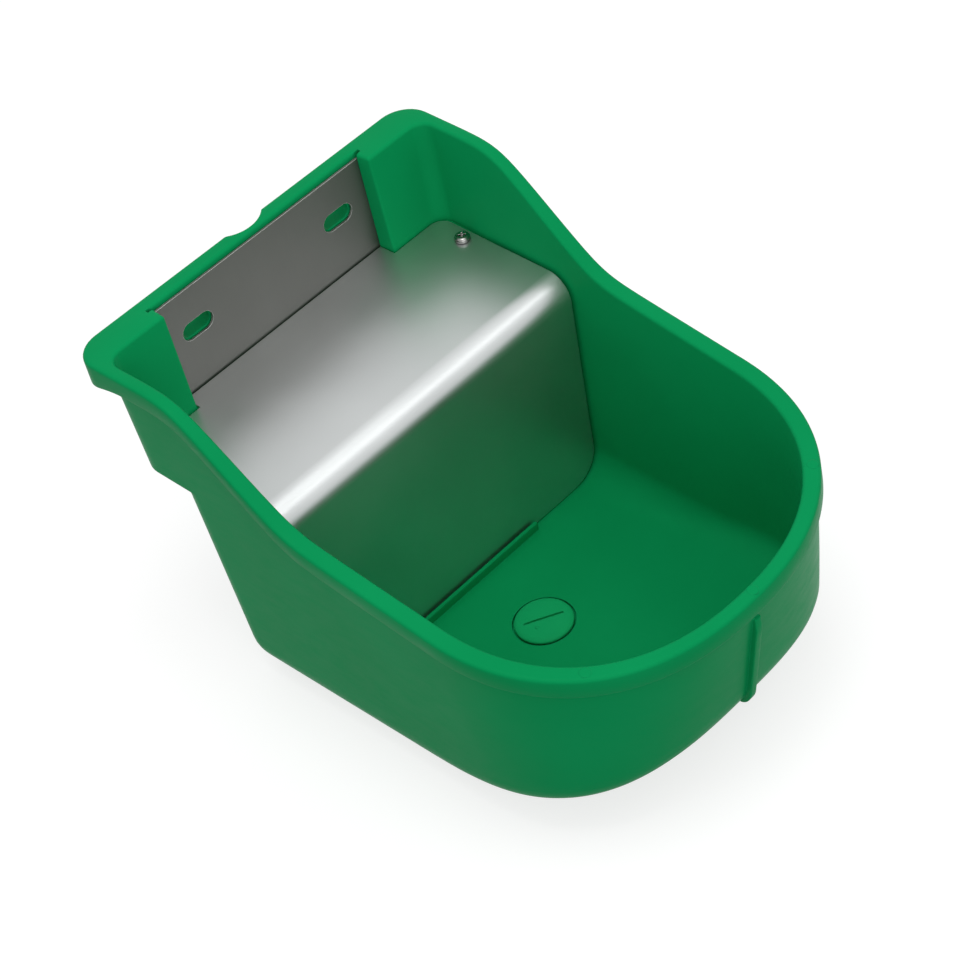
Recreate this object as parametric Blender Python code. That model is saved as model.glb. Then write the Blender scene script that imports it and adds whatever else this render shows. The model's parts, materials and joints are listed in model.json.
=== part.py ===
"""Livestock drinking bowl with a float valve, to be bolted to a wall.

A one-piece moulded bowl has a high back with two blocks in its corners, side rims
that fall towards a round front, and a ledge inside that carries a bent steel cover.
A steel backing plate stands in slots between the corner blocks. The cover hides a
float valve that is screwed through the lower back wall. A slotted plug drains the
floor.

Metres, +Z up, the wall at +Y, the round front at -Y. The origin is on the ground,
under the middle of the bowl. Depths are measured forward from the back edge.
"""
import math

import bpy
import bmesh
from mathutils import Matrix, Vector

# Bowl, overall
BOWL_WIDTH = 0.250
BOWL_DEPTH = 0.347
BOWL_HEIGHT = 0.2132
WALL = 0.0055
FLOOR = 0.0040
SIDE_DRAFT = math.radians(1.95)
FRONT_DRAFT = math.radians(12.1)
FRONT_DRAFT_INSIDE = math.radians(10.2)
BACK_DRAFT = math.radians(2.2)
UPPER_BACK_DRAFT = math.radians(1.5)
SIDE_TOE_IN = math.radians(1.1)

# Bowl, plan of the round front and of the rear corners
FRONT_ROUND_LENGTH = 0.1103
FRONT_ROUND_POWER = 2.25
BASE_ROUND_POWER = 3.05
FLANGE_CORNER_RADIUS = 0.018
LOWER_CORNER_RADIUS = 0.016
POCKET_CORNER_RADIUS = 0.009

# Bowl, underside
SIDE_FILLET_REACH = 0.0245
SIDE_FILLET_RISE = 0.0248
FRONT_FILLET_END = 0.205
FRONT_FILLET_RISE = 0.0435
FRONT_SHRINK_SHARE = 0.44
FRONT_FILLET_POWER = 0.8
CORNER_SHRINK_SHARE = 0.6

# Rim, seen from the side
FALL_START = 0.0763
FALL_END = 0.1429
FALL_SLOPE = 0.901
FRONT_SLOPE = 0.140
RIM_BLEND = 0.0065
LIP_PROUD = 0.0025
LIP_HEIGHT = 0.012
FLANGE_HEIGHT = 0.018
FLANGE_RUN = 0.040
RIM_ROUND = 0.002

# Upper back, with the corner blocks and the recess between them
BLOCK_WIDTH = 0.0496
RECESS_DEPTH = 0.0097
RECESS_WALL = 0.0042
BLOCK_DEPTH = 0.0219
BLOCK_OUTER_DEPTH = 0.018
JOG_RUN = 0.0006
JOG_OUTSET = 0.0092
LOWER_BLOCK_SHARE = 0.9

# Ledge that carries the cover, and the lower back wall
LEDGE_TOP = 0.1467
LEDGE_THICKNESS = 0.004
LEDGE_FALL = 0.0003
LOWER_BACK_DEPTH = 0.0517

# General clearance between neighbouring pieces
GAP = 0.0003
OVERRUN = 0.002
PILOT_GAP = 0.0004

# Backing plate and its two bolt slots
PLATE_THICKNESS = 0.002
PLATE_IN_SLOT = 0.0033
PLATE_SLOT_PLAY = 0.0006
PLATE_BELOW_RIM = 0.0030
PLATE_CORNER = 0.003
BOLT_INSET = 0.0224
BOLT_ABOVE_MIDDLE = 0.00415
BOLT_SLOT_LENGTH = 0.0215
BOLT_SLOT_WIDTH = 0.0112
WALL_SLOT_INSET = 0.0008

# Valve cover, a bent sheet
COVER_THICKNESS = 0.0012
COVER_SIDE_GAP = 0.0020
COVER_PLATE_GAP = 0.0010
COVER_BLOCK_GAP = 0.0009
COVER_TOP_DEPTH = 0.1258
COVER_BEND_RADIUS = 0.015
COVER_LEAN = math.radians(1.4)
COVER_FLOOR_GAP = 0.0008
COVER_FOOT_RADIUS = 0.020
COVER_SHOULDER_RADIUS = 0.009

# Screws of the cover
COVER_SCREW_INSET = 0.0202
COVER_SCREW_DEPTH = 0.050
SCREW_HEAD_RADIUS = 0.0048
SCREW_HEAD_HEIGHT = 0.0030
SCREW_SHANK_RADIUS = 0.0024
SCREW_LENGTH = 0.013
SCREW_HEAD_SHARES = ((1.0, 0.35), (0.88, 0.75), (0.6, 0.95), (0.25, 1.0))
SCREW_POINT_SHARE = 2 / 3
SCREW_SOCKET_RADIUS = 0.0019
SCREW_SOCKET_DEPTH = 0.0016
SCREW_BOSS_RADIUS = 0.0062
SCREW_BOSS_HEIGHT = 0.0125

# Ribs and blades moulded on the bowl
FLOOR_RIB_INSET = 0.0735
FLOOR_RIB_WIDTH = 0.0026
FLOOR_RIB_HEIGHT = 0.0055
FLOOR_RIB_GAP = 0.0014
GUSSET_INSET = 0.038
GUSSET_THICKNESS = 0.0045
GUSSET_HEIGHT = 0.036
GUSSET_ROUND = 0.008
FRONT_RIB_THICKNESS = 0.0045
FRONT_RIB_OFFSET = 0.003
FRONT_RIB_PROUD = 0.0030
FRONT_RIB_BELOW_RIM = 0.0180
FRONT_RIB_ROOT = 0.0020
FRONT_RIB_TURNS = (0, math.radians(6), math.radians(11), math.radians(15))
FLANGE_POCKET_SKIN = 0.0040
FLANGE_POCKET_BITE = 0.0003
HANG_NOTCH_WIDTH = 0.029
HANG_NOTCH_DEPTH = 0.0068

# Drain plug with its slot, and the seal under its head
DRAIN_DEPTH = 0.1782
DRAIN_HEAD_RADIUS = 0.0170
DRAIN_HEAD_EDGE = 0.0010
DRAIN_DOME_RISE = 0.0024
DRAIN_DOME_SHARES = (0.97, 0.85, 0.6, 0.3)
DRAIN_STEM_RADIUS = 0.0115
DRAIN_RECESS_RADIUS = 0.0182
DRAIN_RECESS_DEPTH = 0.0022
DRAIN_SEAL_THICKNESS = 0.0008
DRAIN_SEAL_INSET = 0.0008
DRAIN_STEM_LIFT = 0.0006
COIN_SLOT_WIDTH = 0.0018
COIN_SLOT_LENGTH = 0.0235
COIN_SLOT_DEPTH = 0.0014
COIN_SLOT_TURN = math.radians(-31)

# Water inlet through the lower back wall
INLET_INSET = 0.063
INLET_BELOW_LEDGE = 0.0287
INLET_RADIUS = 0.0104
INLET_BORE = 0.0065
INLET_END_DEPTH = 0.0240
INLET_BOSS_RADIUS = 0.0175
INLET_BOSS_PROUD = 0.0025
INLET_SEAT_PROUD = 0.00125
GASKET_THICKNESS = 0.0020
GASKET_RADIUS = 0.0155
FLANGE_ACROSS_FLATS = 0.0280
FLANGE_THICKNESS = 0.0060
WASHER_THICKNESS = 0.0020
WASHER_RADIUS = 0.0160
LOCKNUT_ACROSS_FLATS = 0.0300
LOCKNUT_THICKNESS = 0.0070
STRAINER_LENGTH = 0.0180
STRAINER_WALL = 0.0010
STRAINER_INSET = 0.0005
STRAINER_EYE_SHARE = 0.25

# Valve, lying along X in front of the inlet
VALVE_FORWARD = 0.0025
VALVE_RADIUS = 0.0120
ELBOW_REACH = 0.0140
ELBOW_ARM_RADIUS = 0.0110
ELBOW_BEVEL = 0.0020
SPIGOT_LENGTH = 0.0080
SPIGOT_RADIUS = 0.0082
SPIGOT_BORE = 0.0045
VALVE_LENGTH = 0.0377
SOCKET_DEPTH = 0.0117
PISTON_RADIUS = 0.0060
PISTON_LENGTH = 0.0160
TAB_ALONG_PISTON_SHARE = 0.6
NOZZLE_FLANGE = 0.0016
NOZZLE_LENGTH = 0.0040
NOZZLE_RADIUS = 0.0046
NOZZLE_BORE = 0.0022
NOZZLE_SEAT_RADIUS = 0.0033
RING_THICKNESS = 0.0015
RING_BORE = 0.0052
SEAT_DISC_RADIUS = 0.0046
SEAT_DISC_THICKNESS = 0.0025
SEAT_DISC_PROUD = 0.0006
CAP_THICKNESS = 0.0022
CAP_SPIGOT = 0.0015
CAP_BEVEL = 0.00066
OUTLET_RADIUS = 0.0032

# Float lever, drawn with the valve shut and then lowered
LEVER_SWING = math.radians(20)
TAB_REACH = 0.0090
TAB_RADIUS = 0.0028
TAB_NECK_RADIUS = 0.0015
TAB_PLAY = 0.0004
HUB_RADIUS = 0.0028
LEVER_THICKNESS = 0.0050
LEVER_SIDE_PLAY = 0.0004
CRANK_DROP = 0.0170
CRANK_RADIUS = 0.0026
ARM_RADIUS = 0.0034
ARM_SHORTFALL = 0.0500
EYE_RADIUS = 0.0075
EYE_HEIGHT = 0.0074
PIN_RADIUS = 0.0015
PIN_PLAY = 0.0002
PIN_HEAD_RADIUS = 0.0027
PIN_HEAD_THICKNESS = 0.0012
PIN_REACH = 0.0109
PIN_TAIL = 0.0020
PIN_BEVEL = 0.0005
CLIP_RADIUS = 0.0032
CLIP_THICKNESS = 0.0008

# Float and what clamps it to the lever
FLOAT_LENGTH = 0.070
FLOAT_SIDE_ROOM = 0.0123
FLOAT_HEIGHT = 0.036
FLOAT_EDGE = 0.008
FLOAT_END_FLAT = 0.004
STEM_RADIUS = 0.0030
STEM_IN_FLOAT = 0.0120
STEM_ABOVE_EYE = 0.0110
LOCK_NUT_ACROSS_FLATS = 0.0100
LOCK_NUT_HEIGHT = 0.0045
WING_HUB_RADIUS = 0.0050
WING_HUB_HEIGHT = 0.0050
WING_SPAN = 0.0110
WING_HEIGHT = 0.0090
WING_THICKNESS = 0.0016
WING_ROOT_SHARES = ((0.7, 0.15), (0.9, 0.9))
WING_EDGE_SHARES = ((0.85, 0.45), (1.0, 0.8), (0.85, 1.0))

# Fineness of the meshes
FILLET_STEPS = 5
WALL_SHARES = (0.3, 0.65, 1.0)
SETTLING_TURNS = 8
ROUND_SEGMENTS = 32
SMALL_SEGMENTS = 20
CORNER_STEPS = 5
SIDE_SHARES = (0.12, 0.20, 0.25, 0.29, 0.35, 0.44, 0.52, 0.57, 0.61, 0.68, 0.83, 1.0)
FRONT_STEPS = 13
SHOULDER_STEPS = 3
BEND_STEPS = 6
COVER_FRONT_STEPS = 2
COVER_FOOT_STEPS = 5
FLOAT_EDGE_STEPS = 3
SMOOTH_ANGLE = math.radians(30)

# Widths, depths and levels worked out from the sizes above
RECESS_HALF_WIDTH = BOWL_WIDTH / 2 - BLOCK_WIDTH
COVER_SCREW_SPACING = BOWL_WIDTH - 2 * COVER_SCREW_INSET
FLOOR_RIB_HALF_LENGTH = BOWL_WIDTH / 2 - FLOOR_RIB_INSET
GUSSET_OFFSET = BOWL_WIDTH / 2 - GUSSET_INSET
BOLT_SPACING = 2 * (RECESS_HALF_WIDTH - BOLT_INSET)
INLET_OFFSET = BOWL_WIDTH / 2 - INLET_INSET
FRONT_FILLET_REACH = BOWL_DEPTH - FRONT_FILLET_END
LEDGE_BELOW_RIM = BOWL_HEIGHT - LEDGE_TOP
LEDGE_UNDER = LEDGE_TOP - LEDGE_THICKNESS
INLET_HEIGHT = LEDGE_TOP - INLET_BELOW_LEDGE
CHAMBER_BACK = LOWER_BACK_DEPTH + WALL
VALVE_DEPTH = (CHAMBER_BACK + COVER_TOP_DEPTH) / 2 + VALVE_FORWARD
ARM_LENGTH = BOWL_WIDTH / 2 - ARM_SHORTFALL
FLOAT_WIDTH = COVER_TOP_DEPTH - CHAMBER_BACK - 2 * FLOAT_SIDE_ROOM
FLOAT_END_RADIUS = FLOAT_WIDTH / 2 - FLOAT_END_FLAT
COVER_TOP = LEDGE_TOP + GAP + COVER_THICKNESS
BOLT_HEIGHT = (LEDGE_TOP + BOWL_HEIGHT) / 2 + BOLT_ABOVE_MIDDLE
PLATE_BACK = RECESS_DEPTH + GAP
PLATE_FRONT = PLATE_BACK + PLATE_THICKNESS
PLATE_BOTTOM = LEDGE_TOP + GAP


def at(x, depth, z):
    """A point given by its distance forward from the back edge."""
    return Vector((x, BOWL_DEPTH / 2 - depth, z))


def clear_scene():
    for item in list(bpy.data.objects):
        bpy.data.objects.remove(item, do_unlink=True)


def material(name, colour, roughness, metallic=0.0):
    made = bpy.data.materials.new(name)
    made.use_nodes = True
    shader = made.node_tree.nodes["Principled BSDF"]
    shader.inputs["Base Color"].default_value = (*colour, 1.0)
    shader.inputs["Roughness"].default_value = roughness
    shader.inputs["Metallic"].default_value = metallic
    return made


def make_object(name, points, faces, finish):
    """A named object from points and faces, with its faces turned outwards."""
    mesh = bpy.data.meshes.new(name)
    mesh.from_pydata([tuple(p) for p in points], [], faces)
    build = bmesh.new()
    build.from_mesh(mesh)
    bmesh.ops.recalc_face_normals(build, faces=build.faces)
    build.to_mesh(mesh)
    build.free()
    mesh.shade_smooth()
    mesh.set_sharp_from_angle(angle=SMOOTH_ANGLE)
    item = bpy.data.objects.new(name, mesh)
    bpy.context.scene.collection.objects.link(item)
    if finish is not None:
        mesh.materials.append(finish)
    return item


def boolean(target, tool, operation):
    """Cut a tool from an object, or join it on, and delete the tool."""
    step = target.modifiers.new(operation, "BOOLEAN")
    step.operation = operation
    step.solver = "EXACT"
    step.object = tool
    tool.hide_render = True
    tool.display_type = "WIRE"
    bpy.context.view_layer.update()
    view = bpy.context.evaluated_depsgraph_get()
    result = bpy.data.meshes.new_from_object(target.evaluated_get(view))
    finish = list(target.data.materials)
    target.modifiers.clear()
    target.data = result
    result.materials.clear()
    for entry in finish:
        result.materials.append(entry)
    result.set_sharp_from_angle(angle=SMOOTH_ANGLE)
    bpy.data.objects.remove(tool, do_unlink=True)


def cut(target, tool):
    boolean(target, tool, "DIFFERENCE")


def join(target, tool):
    boolean(target, tool, "UNION")


def loft(name, rings, finish=None, capped=True):
    """Closed rings of equal length, joined into one skin with flat ends."""
    count = len(rings[0])
    points = [point for ring in rings for point in ring]
    faces = []
    for level in range(len(rings) - 1):
        low = level * count
        high = low + count
        for i in range(count):
            j = (i + 1) % count
            faces.append((low + i, low + j, high + j, high + i))
    if capped:
        faces.append(tuple(range(count)))
        last = (len(rings) - 1) * count
        faces.append(tuple(range(last, last + count)))
    else:
        last = (len(rings) - 1) * count
        for i in range(count):
            j = (i + 1) % count
            faces.append((last + i, last + j, j, i))
    return make_object(name, points, faces, finish)


def axis_frame(centre, direction):
    """A frame whose Z runs along a direction."""
    turn = Vector(direction).to_track_quat("Z", "Y").to_matrix().to_4x4()
    return Matrix.Translation(centre) @ turn


def turned(name, profile, centre, direction, finish=None, segments=ROUND_SEGMENTS):
    """A solid of revolution from (radius, height) pairs, from one flat end to the other."""
    frame = axis_frame(centre, direction)
    rings = []
    for radius, height in profile:
        ring = []
        for i in range(segments):
            angle = math.tau * i / segments
            local = Vector((radius * math.cos(angle), radius * math.sin(angle), height))
            ring.append(frame @ local)
        rings.append(ring)
    return loft(name, rings, finish)


def turned_ring(name, profile, centre, direction, finish=None, segments=ROUND_SEGMENTS):
    """A ring of revolution from a closed loop of (radius, height) pairs."""
    frame = axis_frame(centre, direction)
    rings = []
    for radius, height in profile:
        ring = []
        for i in range(segments):
            angle = math.tau * i / segments
            local = Vector((radius * math.cos(angle), radius * math.sin(angle), height))
            ring.append(frame @ local)
        rings.append(ring)
    return loft(name, rings, finish, capped=False)


def rod(name, radius, start, end, centre, direction, finish=None, segments=ROUND_SEGMENTS):
    """A plain cylinder between two heights along an axis."""
    return turned(name, [(radius, start), (radius, end)], centre, direction, finish, segments)


def washer(name, bore, radius, start, end, centre, direction, finish=None,
           segments=ROUND_SEGMENTS):
    """A flat ring between two heights along an axis."""
    loop = [(bore, start), (radius, start), (radius, end), (bore, end)]
    return turned_ring(name, loop, centre, direction, finish, segments)


def prism(name, outline, start, end, frame, finish=None):
    """An outline in a frame's XY plane, extruded along the frame's Z."""
    rings = []
    for height in (start, end):
        rings.append([frame @ Vector((x, y, height)) for x, y in outline])
    return loft(name, rings, finish)


def hexagon(across_flats, turn=0.0):
    radius = across_flats / math.sqrt(3)
    angles = [turn + math.pi / 3 * i for i in range(6)]
    return [(radius * math.cos(a), radius * math.sin(a)) for a in angles]


def arc(cx, cy, radius, start, end, steps):
    """Points on an arc, with angles in degrees."""
    points = []
    for i in range(steps + 1):
        angle = math.radians(start + (end - start) * i / steps)
        points.append((cx + radius * math.cos(angle), cy + radius * math.sin(angle)))
    return points


def circle(cx, cy, radius, segments=24):
    return arc(cx, cy, radius, 0, 360 * (segments - 1) / segments, segments - 1)


def slot_outline(length, width, steps=6):
    """A horizontal slot with round ends, centred on the origin."""
    run = (length - width) / 2
    radius = width / 2
    return arc(run, 0, radius, -90, 90, steps) + arc(-run, 0, radius, 90, 270, steps)


def capsule(x0, y0, x1, y1, radius, steps=6):
    """A bar with round ends between two points."""
    heading = math.degrees(math.atan2(y1 - y0, x1 - x0))
    return (arc(x1, y1, radius, heading - 90, heading + 90, steps)
            + arc(x0, y0, radius, heading + 90, heading + 270, steps))


def rounded_box_outline(length, width, radius, steps=5):
    x = length / 2 - radius
    y = width / 2 - radius
    return (arc(x, y, radius, 0, 90, steps) + arc(-x, y, radius, 90, 180, steps)
            + arc(-x, -y, radius, 180, 270, steps) + arc(x, -y, radius, 270, 360, steps))


def box(name, low, high):
    """A block between two corners, for cuts and joins."""
    outline = [(low[0], low[1]), (high[0], low[1]), (high[0], high[1]), (low[0], high[1])]
    return prism(name, outline, low[2], high[2], Matrix.Identity(4))


# The bowl is a skin of rows, and each row has the same stations around the plan


def stations():
    """Places around the right half of the plan, from the back centre to the front."""
    found = []
    for i in range(3):
        found.append(("recess", i / 2))
    for i in range(3):
        found.append(("block", i / 2))
    for i in range(1, CORNER_STEPS + 1):
        found.append(("corner", i / CORNER_STEPS))
    for share in SIDE_SHARES:
        found.append(("side", share))
    for i in range(1, FRONT_STEPS + 1):
        found.append(("front", i / FRONT_STEPS))
    return found


STATIONS = stations()


def soft_ramp(distance):
    """Zero before the start, a straight climb after it, and a smooth bend between."""
    return RIM_BLEND * math.log1p(math.exp(distance / RIM_BLEND))


def rim_height(depth):
    """The rim's top: level at the back, a steep fall, and a gentle one to the front."""
    steep = soft_ramp(depth - FALL_START) - soft_ramp(depth - FALL_END)
    gentle = soft_ramp(depth - FALL_END)
    return BOWL_HEIGHT - FALL_SLOPE * steep - FRONT_SLOPE * gentle


FRONT_RIM = rim_height(BOWL_DEPTH)


def side_half(plan, depth):
    """Half the width at a depth: the sides draw together towards the front."""
    return plan["half"] - math.tan(SIDE_TOE_IN) * (depth - FLANGE_CORNER_RADIUS)


def plan_point(station, plan):
    """A station's place on a plan with its own width, backs, corner, front and roundness."""
    part, share = station
    block = plan["block"]
    radius = plan["corner"]
    jog = plan["jog"]
    start = plan["front"] - plan["round"]
    corner_x = side_half(plan, block + radius) - radius
    if part == "recess":
        return share * jog, plan["centre"]
    if part == "block":
        first = jog + JOG_RUN
        return first + share * (corner_x - first), block
    if part == "corner":
        angle = share * math.pi / 2
        return corner_x + radius * math.sin(angle), block + radius * (1 - math.cos(angle))
    if part == "side":
        depth = block + radius + share * (start - block - radius)
        return side_half(plan, depth), depth
    angle = share * math.pi / 2
    power = 2 / plan["power"]
    reach = side_half(plan, start)
    x = reach * max(math.cos(angle), 0) ** power
    if share == 1:
        x = 0
    return x, start + plan["round"] * math.sin(angle) ** power


def front_share(station):
    """Nought at the sides and back, one at the middle of the front."""
    part, share = station
    if part != "front":
        return 0.0
    return math.sin(share * math.pi / 2) ** FRONT_FILLET_POWER


def wall_plan(z, inset, upper):
    """The plan of the wall at a height; the inset moves it from the outer to the inner face."""
    inner = inset > WALL / 2
    below_rim = BOWL_HEIGHT - z
    climb = max(min((z - SIDE_FILLET_RISE) / (FRONT_RIM - SIDE_FILLET_RISE), 1), 0)
    power = BASE_ROUND_POWER + (FRONT_ROUND_POWER - BASE_ROUND_POWER) * climb
    plan = {
        "half": BOWL_WIDTH / 2 - LIP_PROUD - inset - below_rim * math.tan(SIDE_DRAFT),
        "front": BOWL_DEPTH - (FRONT_RIM - z) * math.tan(FRONT_DRAFT),
        "round": FRONT_ROUND_LENGTH - inset,
        "power": power,
    }
    if inner:
        slope = math.tan(FRONT_DRAFT_INSIDE)
        plan["front"] = BOWL_DEPTH - LIP_PROUD - inset - (FRONT_RIM - z) * slope
    if upper:
        slide = below_rim * math.tan(UPPER_BACK_DRAFT)
        plan["centre"] = RECESS_DEPTH if inner else RECESS_DEPTH - RECESS_WALL
        plan["block"] = (BLOCK_DEPTH if inner else BLOCK_OUTER_DEPTH) + slide
        plan["corner"] = POCKET_CORNER_RADIUS if inner else FLANGE_CORNER_RADIUS
        plan["jog"] = RECESS_HALF_WIDTH + (0 if inner else JOG_OUTSET)
    else:
        depth = LOWER_BACK_DEPTH + (LEDGE_UNDER - z) * math.tan(BACK_DRAFT) + inset
        plan["centre"] = depth
        plan["block"] = depth
        plan["corner"] = LOWER_CORNER_RADIUS - inset / 2
        plan["jog"] = RECESS_HALF_WIDTH * LOWER_BLOCK_SHARE
    return plan


def lip_plan(inset):
    """The plan of the rim's lip, with the flange that reaches back to the wall."""
    return {
        "half": BOWL_WIDTH / 2 - inset,
        "front": BOWL_DEPTH - inset,
        "round": FRONT_ROUND_LENGTH - inset,
        "power": FRONT_ROUND_POWER,
        "centre": inset,
        "block": inset,
        "corner": FLANGE_CORNER_RADIUS - inset,
        "jog": RECESS_HALF_WIDTH + JOG_OUTSET,
    }


def lip_height(depth):
    """The lip is deepest across the back and thins along the sides."""
    share = max(min(1 - depth / FLANGE_RUN, 1), 0)
    ease = share * share * (3 - 2 * share)
    return LIP_HEIGHT + (FLANGE_HEIGHT - LIP_HEIGHT) * ease


def foot_height(station, inset):
    """The height at which the wall turns into the underside's fillet."""
    rise = SIDE_FILLET_RISE + (FRONT_FILLET_RISE - SIDE_FILLET_RISE) * front_share(station)
    return rise + (FLOOR - inset if inset else 0)


def fillet_row(turn, inset):
    """A row of the fillet under the wall; turn goes from 0 at the base to a right angle."""
    row = []
    level = FLOOR if inset else 0
    side = SIDE_FILLET_REACH - inset
    for station in STATIONS:
        rise = foot_height(station, inset) - level
        z = level + rise * (1 - math.sin(turn))
        plan = wall_plan(z, inset, upper=False)
        share = 1 - math.cos(turn)
        pull = (FRONT_FILLET_REACH - inset) * share
        plan["half"] -= side * share
        plan["centre"] += side * share
        plan["block"] += side * share
        plan["front"] -= pull
        plan["round"] *= 1 - FRONT_SHRINK_SHARE * share
        plan["corner"] *= 1 - CORNER_SHRINK_SHARE * share
        row.append((*plan_point(station, plan), z))
    return row


def settled(station, plan_of, level_of):
    """A point whose height depends on its depth, and its depth on its height."""
    x, depth = plan_point(station, plan_of(FRONT_RIM))
    for _ in range(SETTLING_TURNS):
        z = level_of(depth)
        x, depth = plan_point(station, plan_of(z))
    return x, depth, z


def wall_row(level_at_back, inset, upper):
    """A row of the wall, level at the back and lower towards the front."""
    row = []
    top = BOWL_HEIGHT - FLANGE_HEIGHT
    for station in STATIONS:
        foot = foot_height(station, inset)
        rear_foot = foot_height(STATIONS[0], inset)
        share = (level_at_back - rear_foot) / (top - rear_foot)

        def level_of(depth, foot=foot, share=share):
            return foot + share * (rim_height(depth) - FLANGE_HEIGHT - foot)

        row.append(settled(station, lambda z: wall_plan(z, inset, upper), level_of))
    return row


def lip_foot_row(plan_of):
    """A row at the lower edge of the lip."""
    return [settled(station, plan_of, lambda depth: rim_height(depth) - lip_height(depth))
            for station in STATIONS]


def rim_row(plan_of, below):
    """A row on the rim, at a distance below its top."""
    return [settled(station, plan_of, lambda depth: rim_height(depth) - below)
            for station in STATIONS]


def both_sides(row):
    """A whole ring: the right half and its mirror image."""
    right = [at(*point) for point in row]
    left = [at(-x, depth, z) for x, depth, z in reversed(row[1:-1])]
    return right + left


def bowl_rows():
    """The skin from the underside, up the outside, over the rim and down to the floor."""
    def inner(inset):
        return lambda z: wall_plan(z, WALL + inset, True)

    def lip(inset):
        return lambda z: lip_plan(inset)

    turns = [math.pi / 2 * (1 - i / FILLET_STEPS) for i in range(FILLET_STEPS + 1)]
    nip = RIM_ROUND * (1 - math.sqrt(0.5))
    outer_foot = foot_height(STATIONS[0], 0)
    inner_foot = foot_height(STATIONS[0], WALL)
    rows = [fillet_row(turn, 0) for turn in turns]
    for share in WALL_SHARES:
        level = outer_foot + share * (LEDGE_UNDER - outer_foot)
        rows.append(wall_row(level, 0, upper=False))
    rows.append(wall_row(LEDGE_UNDER + LEDGE_FALL, 0, upper=True))
    rows.append(lip_foot_row(lambda z: wall_plan(z, 0, True)))
    rows.append(lip_foot_row(lip(0)))
    rows.append(rim_row(lip(0), RIM_ROUND))
    rows.append(rim_row(lip(nip), nip))
    rows.append(rim_row(lip(RIM_ROUND), 0))
    rows.append(rim_row(inner(-RIM_ROUND), 0))
    rows.append(rim_row(inner(-nip), nip))
    rows.append(rim_row(inner(0), RIM_ROUND))
    rows.append(wall_row(LEDGE_TOP, WALL, upper=True))
    for share in reversed(WALL_SHARES):
        level = inner_foot + share * (LEDGE_TOP - LEDGE_FALL - inner_foot)
        rows.append(wall_row(level, WALL, upper=False))
    rows += [fillet_row(turn, WALL) for turn in reversed(turns)]
    return rows


def depth_of_lower_back(z):
    return LOWER_BACK_DEPTH + (LEDGE_UNDER - z) * math.tan(BACK_DRAFT)


def side_frame(x):
    """A frame whose X runs forward, Y up, and Z along the world's X."""
    turn = Matrix(((0, 0, 1), (-1, 0, 0), (0, 1, 0))).to_4x4()
    return Matrix.Translation(at(x, 0, 0)) @ turn


def back_frame(x, depth, z):
    """A frame seen from the front: X to the right, Y up, and Z forward."""
    turn = Matrix(((1, 0, 0), (0, 0, -1), (0, 1, 0))).to_4x4()
    return Matrix.Translation(at(x, depth, z)) @ turn


def add_gussets(bowl):
    """Two blades under the ledge that steady the bowl against the wall."""
    low = LEDGE_UNDER - GUSSET_HEIGHT
    rear = BLOCK_OUTER_DEPTH + (BOWL_HEIGHT - LEDGE_UNDER) * math.tan(UPPER_BACK_DRAFT)
    fore = depth_of_lower_back(low) + WALL / 2
    high = LEDGE_UNDER + LEDGE_THICKNESS / 2
    outline = [(fore, low), (fore, high), (rear, high)]
    outline += arc(rear + GUSSET_ROUND, low + GUSSET_ROUND, GUSSET_ROUND, 180, 270, 4)
    for side in (-1, 1):
        half = GUSSET_THICKNESS / 2
        blade = prism("blade", outline, -half, half, side_frame(side * GUSSET_OFFSET))
        join(bowl, blade)


def add_front_rib(bowl):
    """A blade down the middle of the front, which follows the wall under the bowl."""
    middle = STATIONS[-1]
    spine = []
    top = FRONT_RIM - FRONT_RIB_BELOW_RIM
    foot = foot_height(middle, 0)
    for z in (top, foot + (top - foot) / 2, foot + (top - foot) / 6):
        spine.append((plan_point(middle, wall_plan(z, 0, upper=False))[1], z))
    for turn in FRONT_RIB_TURNS:
        point = fillet_row(turn, 0)[-1]
        spine.append((point[1], point[2]))
    outside = []
    inside = []
    for i in range(len(spine)):
        before = spine[max(i - 1, 0)]
        after = spine[min(i + 1, len(spine) - 1)]
        run = Vector((after[0] - before[0], after[1] - before[1])).normalized()
        out = Vector((-run.y, run.x))
        proud = FRONT_RIB_PROUD if i < len(spine) - 1 else 0
        outside.append((spine[i][0] + out.x * proud, spine[i][1] + out.y * proud))
        inside.append((spine[i][0] - out.x * FRONT_RIB_ROOT, spine[i][1] - out.y * FRONT_RIB_ROOT))
    half = FRONT_RIB_THICKNESS / 2
    join(bowl, prism("front_blade", outside + inside[::-1], -half, half,
                     side_frame(FRONT_RIB_OFFSET)))


def add_bosses(bowl):
    """Bosses for the cover's screws, the inlet's boss, and the rib before the cover."""
    for side in (-1, 1):
        centre = at(side * COVER_SCREW_SPACING / 2, COVER_SCREW_DEPTH, LEDGE_UNDER)
        join(bowl, rod("boss", SCREW_BOSS_RADIUS, -SCREW_BOSS_HEIGHT, LEDGE_THICKNESS / 2,
                       centre, (0, 0, 1), segments=SMALL_SEGMENTS))
    join(bowl, rod("inlet_boss", INLET_BOSS_RADIUS, INLET_PAD_OUTER, INLET_PAD_INNER,
                   at(INLET_OFFSET, 0, INLET_HEIGHT), (0, -1, 0)))
    low = cover_foot_depth() + FLOOR_RIB_GAP
    outline = slot_outline(2 * FLOOR_RIB_HALF_LENGTH, FLOOR_RIB_WIDTH, 4)
    frame = Matrix.Translation(at(0, low + FLOOR_RIB_WIDTH / 2, 0))
    join(bowl, prism("floor_rib", outline, FLOOR / 2, FLOOR + FLOOR_RIB_HEIGHT, frame))


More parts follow.
